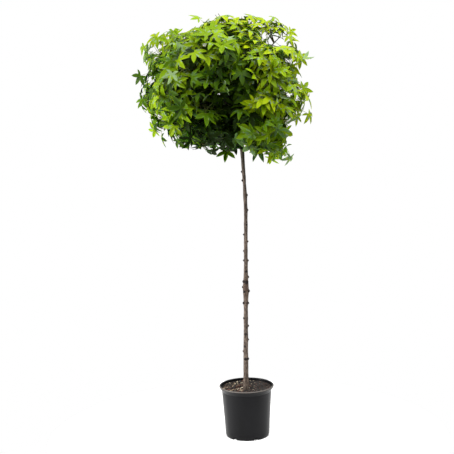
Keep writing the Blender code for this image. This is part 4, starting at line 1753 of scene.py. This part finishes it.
class Thicket:
    """All blades that hang so far, kept by cell so that a new one is held only against near ones."""

    def __init__(self, limbs: BVHTree, cell: float = 0.10) -> None:
        """Starts with bare limbs.

        Args:
            limbs: a search tree of the trunk and boughs.
            cell: the size of a cell.
        """
        self.limbs = limbs
        self.cell = cell
        self.cells: dict[tuple[int, ...], list[tuple[Vector, BVHTree]]] = {}

    def key(self, point: Vector) -> tuple[int, ...]:
        """The cell that a point is in."""
        return tuple(math.floor(c / self.cell) for c in point)

    def near(self, point: Vector, reach: float) -> Iterator[BVHTree]:
        """The blades whose middle is within reach of a point."""
        i, j, k = self.key(point)
        for cell in ((i + a, j + b, k + c) for a in (-1, 0, 1) for b in (-1, 0, 1) for c in (-1, 0, 1)):
            for middle, tree in self.cells.get(cell, ()):
                if (middle - point).length < reach:
                    yield tree

    def takes(self, points: np.ndarray, faces: list[Face], middle: Vector, reach: float) -> bool:
        """Adds a blade if it touches nothing.

        Args:
            points: the blade's outline.
            faces: its faces.
            middle: the middle of it.
            reach: how near another blade's middle must be to matter.

        Returns:
            Whether it was added.
        """
        tree = BVHTree.FromPolygons(points.tolist(), faces)
        if any(tree.overlap(other) for other in self.near(middle, reach)) or tree.overlap(self.limbs):
            return False
        self.cells.setdefault(self.key(middle), []).append((middle, tree))
        return True


class Growth:
    """One mass as it grows: a stem, side twigs, finer twigs, and leaves on their stalks."""

    def __init__(self, mass: Mass, rule: GrowthRule, blade: Blade, thicket: Thicket) -> None:
        """Starts the mass with no twigs.

        Args:
            mass: which mass grows.
            rule: the plant's habit.
            blade: the leaf's mesh.
            thicket: the limbs and all blades that hang so far.
        """
        self.mass = mass
        self.rule = rule
        self.blade = blade
        self.thicket = thicket
        self.share = Share(mass)
        self.chance = random.Random("sweetgum " + mass.name)
        self.leaves: list[Leaf] = []
        self.twigs: list[Twig] = []

    def jitter(self, size: float) -> Vector:
        """A small random vector."""
        return Vector(self.chance.gauss(0.0, size) for _ in range(3))

    def tint(self, point: Vector) -> int:
        """The tint of a spray from how much light reaches its place."""
        return self.rule.light.tint(point, self.chance)

    def try_leaf(self, node: Vector, axis: Vector, out: Vector, attempt: int,
                 leader: Leader | None) -> Leaf | None:
        """One stance of a leaf at a node.

        Args:
            node: the place on the twig.
            axis: the way of the twig.
            out: the way round it that the stalk takes.
            attempt: how many stances have been tried. Each is looser than the one before.
            leader: the leader that the twig is, if any.

        Returns:
            The leaf, or None where its stalk and blade would fold back.
        """
        rule, chance = self.rule, self.chance
        loose = rule.loose + rule.loose_step * attempt
        size = leader.leaf_share if leader else 1.0
        cramped = rule.cramped if attempt > rule.cramped_after else 1.0
        length = rule.leaf_length * size * chance.uniform(*rule.leaf_size) * cramped
        stalk = axis * rule.stalk_along + out * rule.stalk_out + UP * rule.stalk_up + self.jitter(loose)
        stalk.normalize()
        base = node + stalk * (rule.petiole_length * size * chance.uniform(*rule.petiole_size))
        normal = self.share.outward(base) * rule.face_out + UP * rule.face_up
        normal += self.jitter(loose + rule.face_loose)
        if leader:
            normal += rule.leader_face
        normal.normalize()
        hang = stalk - UP * rule.hang + self.jitter(rule.hang_loose * loose)
        hang -= normal * hang.dot(normal)
        if hang.length < rule.least_hang:
            return None
        midrib = hang.normalized()
        if midrib.dot(stalk) < rule.least_follow:
            return None
        if chance.random() < rule.turned:
            normal = -normal
        bends = tuple(chance.gauss(0.0, rule.lobe_bend) for _ in self.blade.shape.lobes)
        return Leaf(node, base, midrib, normal, length, chance.uniform(*rule.fold),
                    chance.uniform(*rule.droop), chance.uniform(*rule.roll), bends)

    def fits(self, leaf: Leaf, leader: Leader | None) -> bool:
        """Whether a leaf may hang where it stands. One that may is added to the thicket.

        Args:
            leaf: the leaf.
            leader: the leader that carries it, if any.

        Returns:
            Whether it stays in the share, or near enough on a leader, and touches nothing.
        """
        holds = self.share.holds_leader if leader else self.share.holds
        if not holds(np.array([leaf.base, leaf.base + leaf.midrib * leaf.length])):
            return False
        points = self.blade.placed(leaf)[self.blade.coarse]
        if not holds(points):
            return False
        middle = leaf.base + leaf.midrib * (self.rule.blade_middle * leaf.length)
        if self.share.covers_gap(points) or not leader and self.share.stands_open(middle):
            return False
        core = np.array(middle) + (points - np.array(middle)) * self.rule.core
        return self.thicket.takes(core, self.blade.coarse_faces, middle, leaf.length)

    def add_leaf(self, node: Vector, axis: Vector, out: Vector, tint: int,
                 leader: Leader | None = None) -> None:
        """Hangs one leaf at a node, trying other stances until one fits.

        Args:
            node: the place on the twig.
            axis: the way of the twig.
            out: the way round it that the leaf's stalk takes.
            tint: the spray's tint.
            leader: the leader that the twig is, if any, which may stand out of the share.
        """
        if len(self.leaves) >= self.mass.leaves:
            return
        for attempt in range(self.rule.leaf_tries):
            leaf = self.try_leaf(node, axis, out, attempt, leader)
            if leaf is not None and self.fits(leaf, leader):
                leaf.tint = min(DARKEST, max(0, tint + self.chance.choice(self.rule.tint_steps)))
                # A leaf turned over shows its underside, painted light high in the crown and shaded lower
                # down
                if leaf.normal.dot(self.share.outward(leaf.base)) < 0.0:
                    pale = leaf.base.z > CROWN_CENTRE.z + self.rule.turned_pale_from
                    leaf.tint = min(leaf.tint, TURNED_PALE if pale else TURNED_HALF_SHADE)
                self.leaves.append(leaf)
                return

    def add_twig(self, start: Vector, ways: Sequence[Vector], length: float, radius: float,
                 sides: int) -> Twig | None:
        """Grows a twig along the first of the given ways that stays in the share.

        Args:
            start: where it leaves what carries it.
            ways: the ways to try, the wanted one first.
            length: how long it is on the first.
            radius: how thick it is at its foot.
            sides: how many sides its tube has.

        Returns:
            The twig, or None where none fits.
        """
        rule = self.rule
        for attempt, way in enumerate(ways):
            run = length * (1.0 - rule.shorten * attempt)
            end = start + way * run + (UP * rule.twig_rise + self.jitter(rule.twig_wander)) * run
            bend = start + way * (0.5 * run) - UP * (rule.twig_sag * run)
            route = bezier(start, bend, end, rule.twig_points)
            far_half = np.array([route[len(route) // 2], route[-1]])
            if self.share.holds(far_half) and not self.near_limb(route[2:]):
                last = len(route) - 1
                radii = [radius * (1.0 - rule.twig_taper * i / last) for i in range(last + 1)]
                self.twigs.append(Twig(route, radii, sides))
                return self.twigs[-1]
        return None

    def near_limb(self, route: Sequence[Vector]) -> bool:
        """Whether a route comes too near the trunk or a bough."""
        return any(self.thicket.limbs.find_nearest(p, self.rule.limb_gap)[0] is not None for p in route)

    def side_ways(self, axis: Vector, turn: float, spread: float) -> list[Vector]:
        """Ways for a side twig to take.

        Args:
            axis: the way of what carries it.
            turn: how far round that it stands.
            spread: how far it leans from it.

        Returns:
            The ways, the wanted one first.
        """
        across = axis.orthogonal().normalized()
        ways = []
        for _ in range(self.rule.twig_tries):
            out = Matrix.Rotation(turn + self.chance.gauss(0.0, self.rule.turn_spread), 3, axis) @ across
            lean = spread * self.chance.uniform(*self.rule.lean_size)
            ways.append((axis * math.cos(lean) + out * math.sin(lean)).normalized())
        return ways

    def leaf_twig(self, route: Sequence[Vector], turn: float, tint: int, nodes: int,
                  leader: Leader | None = None) -> None:
        """Hangs leaves round a twig by the golden angle, from its tip back.

        Args:
            route: the twig's points.
            turn: how far round it the first leaf stands.
            tint: the spray's tint.
            nodes: how many leaves besides the one at its tip.
            leader: the leader that it is, if any.
        """
        way = (route[-1] - route[-2]).normalized()
        across = way.orthogonal().normalized()
        self.add_leaf(route[-1], way, way, tint, leader)
        for k in range(nodes):
            share = self.rule.leaves_from - self.rule.leaves_run * k / nodes
            place = share * (len(route) - 1)
            i = min(int(place), len(route) - 2)
            node = route[i].lerp(route[i + 1], place - i)
            own_tint = self.tint(node) if leader else tint
            out = Matrix.Rotation(turn + GOLDEN * k, 3, way) @ across
            self.add_leaf(node, way, out, own_tint, leader)

    def grow(self, tip: Vector, way: Vector) -> None:
        """Grows the whole mass on from the tip of its bough.

        Args:
            tip: the bough's tip.
            way: the way that the bough ends.
        """
        rule = self.rule
        reach = self.mass.at(rule.stem_reach * self.mass.reach) - tip
        stem_way = way.lerp(reach.normalized(), 1.0 - rule.stem_follow).normalized()
        foot = tip + way * rule.stem_foot
        end = foot + stem_way * reach.length
        last = rule.twig_points
        route = [tip - way * rule.stem_seat] + bezier(foot, foot.lerp(end, 0.5), end, last)
        radii = [rule.stem_radius * (1.0 - rule.stem_taper * i / last) for i in range(last + 1)]
        self.twigs.append(Twig(route, radii, rule.stem_sides))
        turn = self.chance.uniform(0.0, math.tau)
        for leader in (found for found in LEADERS if found.mass == self.mass.name):
            shoot = bezier(foot.lerp(end, rule.leader_foot), Vector(leader.bend), Vector(leader.tip),
                           rule.leader_points)
            radii = [rule.twig_radius * (1.0 - rule.leader_taper * i) for i in range(rule.leader_points)]
            self.twigs.append(Twig(shoot, radii, rule.twig_sides))
            self.leaf_twig(shoot, turn, self.tint(shoot[-1]), leader.leaves, leader)
        self.leaf_twig(route, turn, self.tint(end), rule.stem_leaves)
        for k in range(rule.side_twigs):
            share = rule.first_twig + rule.twig_run * (GOLDEN_SHARE * (k + 1) % 1.0)
            self.side_twig(foot.lerp(end, share), stem_way, share, turn, k)

    def side_twig(self, node: Vector, stem_way: Vector, share: float, turn: float, k: int) -> None:
        """Grows a side twig with its leaves and finer twigs, unless no leaf finds room on them.

        Args:
            node: the place on the mass's stem.
            stem_way: the way of the stem.
            share: the place as a share of the stem.
            turn: how far round the stem its first side twig stands.
            k: how many side twigs come before this one.
        """
        rule = self.rule
        length = (rule.twig_length - rule.twig_length_loss * share) * self.chance.uniform(*rule.twig_size)
        ways = self.side_ways(stem_way, turn + GOLDEN * k, rule.twig_lean - rule.twig_lean_loss * share)
        first, hung = len(self.twigs), len(self.leaves)
        twig = self.add_twig(node, ways, length, rule.twig_radius, rule.twig_sides)
        if twig is None:
            return
        foot, tip = twig.route[0], twig.route[-1]
        spray = self.tint(tip)
        self.leaf_twig(twig.route, turn + k, spray, rule.twig_leaves)
        own_way = (tip - foot).normalized()
        for j in range(rule.finer_twigs):
            place = foot.lerp(tip, rule.finer_first + rule.finer_run * j / rule.finer_twigs)
            ways = self.side_ways(own_way, turn + GOLDEN * (k + j), rule.finer_lean)
            length = rule.finer_length * self.chance.uniform(*rule.finer_size)
            finer = self.add_twig(place, ways, length, rule.finer_radius, rule.finer_sides)
            if finer is not None:
                carried = len(self.leaves)
                self.leaf_twig(finer.route, turn + j, spray, rule.finer_leaves)
                if len(self.leaves) == carried:
                    self.twigs.pop()
        # A shoot on which no leaf found room is shed
        if len(self.leaves) == hung:
            del self.twigs[first:]


@dataclass
class Crown:
    """All the foliage: the masses, each as leaves, stalks and twigs that share its place."""

    rule: GrowthRule = field(default_factory=GrowthRule)
    shape: BladeShape = field(default_factory=BladeShape)
    young_wood: GrownShoot = GrownShoot("olive_brown", "#5d5532")
    soft_wood: GrownShoot = GrownShoot("green", "#7d8a3c")
    # The stalks' own pale green, and a copy with painted shade for leaves in half shade or deeper
    pale_stalk: GrownShoot = GrownShoot("stalk_pale_green", "#a9b45c")
    shaded_stalk: GrownShoot = GrownShoot("stalk_dull_green", "#6d7c3a")
    stalk_arch: float = 0.10
    stalk_seat: float = 0.003
    stalk_shape: tuple[float, ...] = (1.25, 1.0, 1.0, 1.15)
    # A lobe's fold stays soft, and the blade's edge is sharp
    leaf_crease_deg: float = 28.0

    def stalk(self, leaf: Leaf) -> Form:
        """The stalk of a leaf, which arches from its twig to the base of the blade.

        Args:
            leaf: the leaf.

        Returns:
            The stalk's points and faces.
        """
        bend = leaf.node.lerp(leaf.base, 0.5) + UP * (self.stalk_arch * (leaf.base - leaf.node).length)
        route = bezier(leaf.node, bend, leaf.base + leaf.midrib * self.stalk_seat, len(self.stalk_shape))
        radii = [share * self.rule.petiole_radius for share in self.stalk_shape]
        return tube(route, radii, self.rule.petiole_sides)

    def build(self, limbs: BVHTree, ends: dict[str, tuple[Vector, Vector]]) -> None:
        """Grows every mass and ties its pieces to the frame.

        Args:
            limbs: a search tree of the trunk and boughs.
            ends: the tip and way of each bough, by the name of its mass.
        """
        blade = Blade(self.shape)
        thicket = Thicket(limbs)
        tints = [tint.value.material() for tint in TINTS]
        wood = [self.young_wood.material(), self.soft_wood.material()]
        stalks = [self.pale_stalk.material(), self.shaded_stalk.material()]
        # The underside is painted with its leaf's light and shade: the paler a leaf, the paler its underside
        unders = [TINTS.index(t) for t in (Tint.UNDER_PALE, Tint.UNDER_DULL, Tint.UNDER_DEEP)]
        for mass in MASSES:
            growth = Growth(mass, self.rule, blade, thicket)
            growth.grow(*ends[mass.name])
            leaves = JoinedMesh(f"leaves_{mass.name}", tints)
            leaf_stalks = JoinedMesh(f"leaf_stalks_{mass.name}", stalks)
            twigs = JoinedMesh(f"twigs_{mass.name}", wood)
            for leaf in growth.leaves:
                under = unders[min(len(unders) - 1, max(0, leaf.tint - TURNED_PALE))]
                slots = [leaf.tint] * blade.side_count + [under] * blade.side_count
                leaves.add((blade.placed(leaf), blade.faces), slots)
                # Leaves in half shade or deeper get the stalk with painted shade
                leaf_stalks.add(self.stalk(leaf), int(leaf.tint >= TURNED_HALF_SHADE))
            for twig in growth.twigs:
                # The finest twigs are still green
                green = twig.sides == self.rule.finer_sides
                twigs.add(tube(twig.route, twig.radii, twig.sides), int(green))
            node = f"foliage_{mass.name}"
            settle(leaves.build(self.leaf_crease_deg), [node])
            settle(leaf_stalks.build(), [node])
            settle(twigs.build(), [node])
            log.info("%s: %d leaves", mass.name, len(growth.leaves))


@dataclass
class Softbox:
    """One studio softbox: a lit rectangle that faces a point."""

    name: str
    place: Vector
    aim: Vector
    width: float
    height: float
    watts: float

    def build(self) -> None:
        """Makes the lamp."""
        lamp = bpy.data.lights.new(self.name, "AREA")
        lamp.shape = "RECTANGLE"
        lamp.size = self.width
        lamp.size_y = self.height
        lamp.energy = self.watts
        made = add_object(self.name, lamp)
        made.location = self.place
        made.rotation_mode = "QUATERNION"
        made.rotation_quaternion = (self.aim - self.place).to_track_quat("-Z", "Y")


@dataclass
class Studio:
    """The pale floor, the soft light and the camera at the photograph's angle."""

    floor_radius: float = 0.95
    floor_colour: str = "#f6f6f5"
    floor_glow: float = 0.22
    white: str = "#ffffff"
    sky_high: float = 1.35
    sky_level: float = 0.60
    sky_low: float = 0.05
    focal_pixels: float = 1079.0
    picture_pixels: float = 454.0
    sensor_mm: float = 36.0
    pitch_deg: float = 7.68
    yaw_deg: float = 0.84
    roll_deg: float = 1.5
    boxes: tuple[Softbox, ...] = (
        Softbox("key_softbox", Vector((0.8, -0.9, 4.0)), Vector((0.0, 0.0, 1.4)), 2.4, 2.4, 88.0),
        Softbox("left_softbox", Vector((-1.7, -0.5, 0.95)), Vector((0.0, 0.0, 0.85)), 0.7, 1.4, 50.0),
        Softbox("right_softbox", Vector((1.7, -0.4, 0.35)), Vector((0.0, 0.0, 0.2)), 0.7, 0.8, 8.0),
    )

    def floor(self) -> None:
        """Makes the floor."""
        bm = bmesh.new()
        bmesh.ops.create_circle(bm, cap_ends=True, segments=96, radius=self.floor_radius)
        mesh = bpy.data.meshes.new("pale_floor")
        bm.to_mesh(mesh)
        bm.free()
        material, _ = new_material("pale_matt_floor", Base_Color=self.floor_colour, Roughness=0.9,
                                   Emission_Color=self.floor_colour, Emission_Strength=self.floor_glow)
        mesh.materials.append(material)
        add_object("pale_floor", mesh)

    def sky(self) -> None:
        """Makes the room's light, brightest from above, and its white backdrop."""
        world = bpy.data.worlds.new("studio_room")
        bpy.context.scene.world = world
        world.use_nodes = True
        tree = world.node_tree
        tree.nodes.clear()
        white = linear(self.white)
        way = add_node(tree, "TexCoord").outputs["Generated"]
        rise = add_node(tree, "SeparateXYZ", None, way).outputs["Z"]
        glow = add_node(tree, "MapRange", {"To Min": self.sky_level, "To Max": self.sky_high}, rise)
        above = add_node(tree, "Math", {"operation": "GREATER_THAN", 1: 0.0}, rise)
        lift = add_node(tree, "MapRange", {"To Min": self.sky_low}, above)
        power = add_node(tree, "Math", {"operation": "MULTIPLY"}, glow, lift)
        room = add_node(tree, "Background", {"Color": white}, Strength=power)
        backdrop = add_node(tree, "Background", {"Color": white, "Strength": 1.0})
        seen = add_node(tree, "LightPath").outputs["Is Camera Ray"]
        mix = add_node(tree, "MixShader", None, seen, room, backdrop)
        add_node(tree, "OutputWorld", None, mix)

    def camera(self) -> None:
        """Makes the camera."""
        lens = bpy.data.cameras.new("camera")
        lens.sensor_width = self.sensor_mm
        lens.lens = self.sensor_mm * self.focal_pixels / self.picture_pixels
        pitch, yaw, roll = (math.radians(a) for a in (self.pitch_deg, self.yaw_deg, self.roll_deg))
        flat = math.cos(pitch)
        ahead = Vector((-math.sin(yaw) * flat, math.cos(yaw) * flat, -math.sin(pitch)))
        level = ahead.cross(UP).normalized()
        above = level.cross(ahead)
        right = level * math.cos(roll) - above * math.sin(roll)
        top = level * math.sin(roll) + above * math.cos(roll)
        made = add_object("camera", lens)
        made.matrix_world = Matrix.Translation(EYE) @ Matrix((right, top, -ahead)).transposed().to_4x4()
        bpy.context.scene.camera = made

    def build(self) -> None:
        """Makes the whole studio."""
        self.floor()
        self.sky()
        for box in self.boxes:
            box.build()
        self.camera()
        bpy.context.scene.view_settings.view_transform = "Standard"


def limb_tree() -> BVHTree:
    """A search tree of the trunk's and boughs' solids."""
    points: list[Vector] = []
    faces: list[Face] = []
    for name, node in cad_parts.items():
        if name == "trunk" or name.startswith("bough_"):
            first = len(points)
            points += [v.co.copy() for v in node.data.vertices]
            faces += [tuple(first + i for i in p.vertices) for p in node.data.polygons]
    return BVHTree.FromPolygons(points, faces)


def main() -> None:
    """Builds every piece in order and reports it."""
    logging.basicConfig(level=logging.INFO, format="%(message)s")
    Studio().build()
    pot = NurseryPot()
    pot.build()
    CompostBed(pot).build()
    stem = Stem()
    bark = stem.finish.material()
    stem.build(bark)
    ends = Boughs(stem).build(bark)
    Crown().build(limb_tree(), ends)


if __name__ == "__main__":
    main()
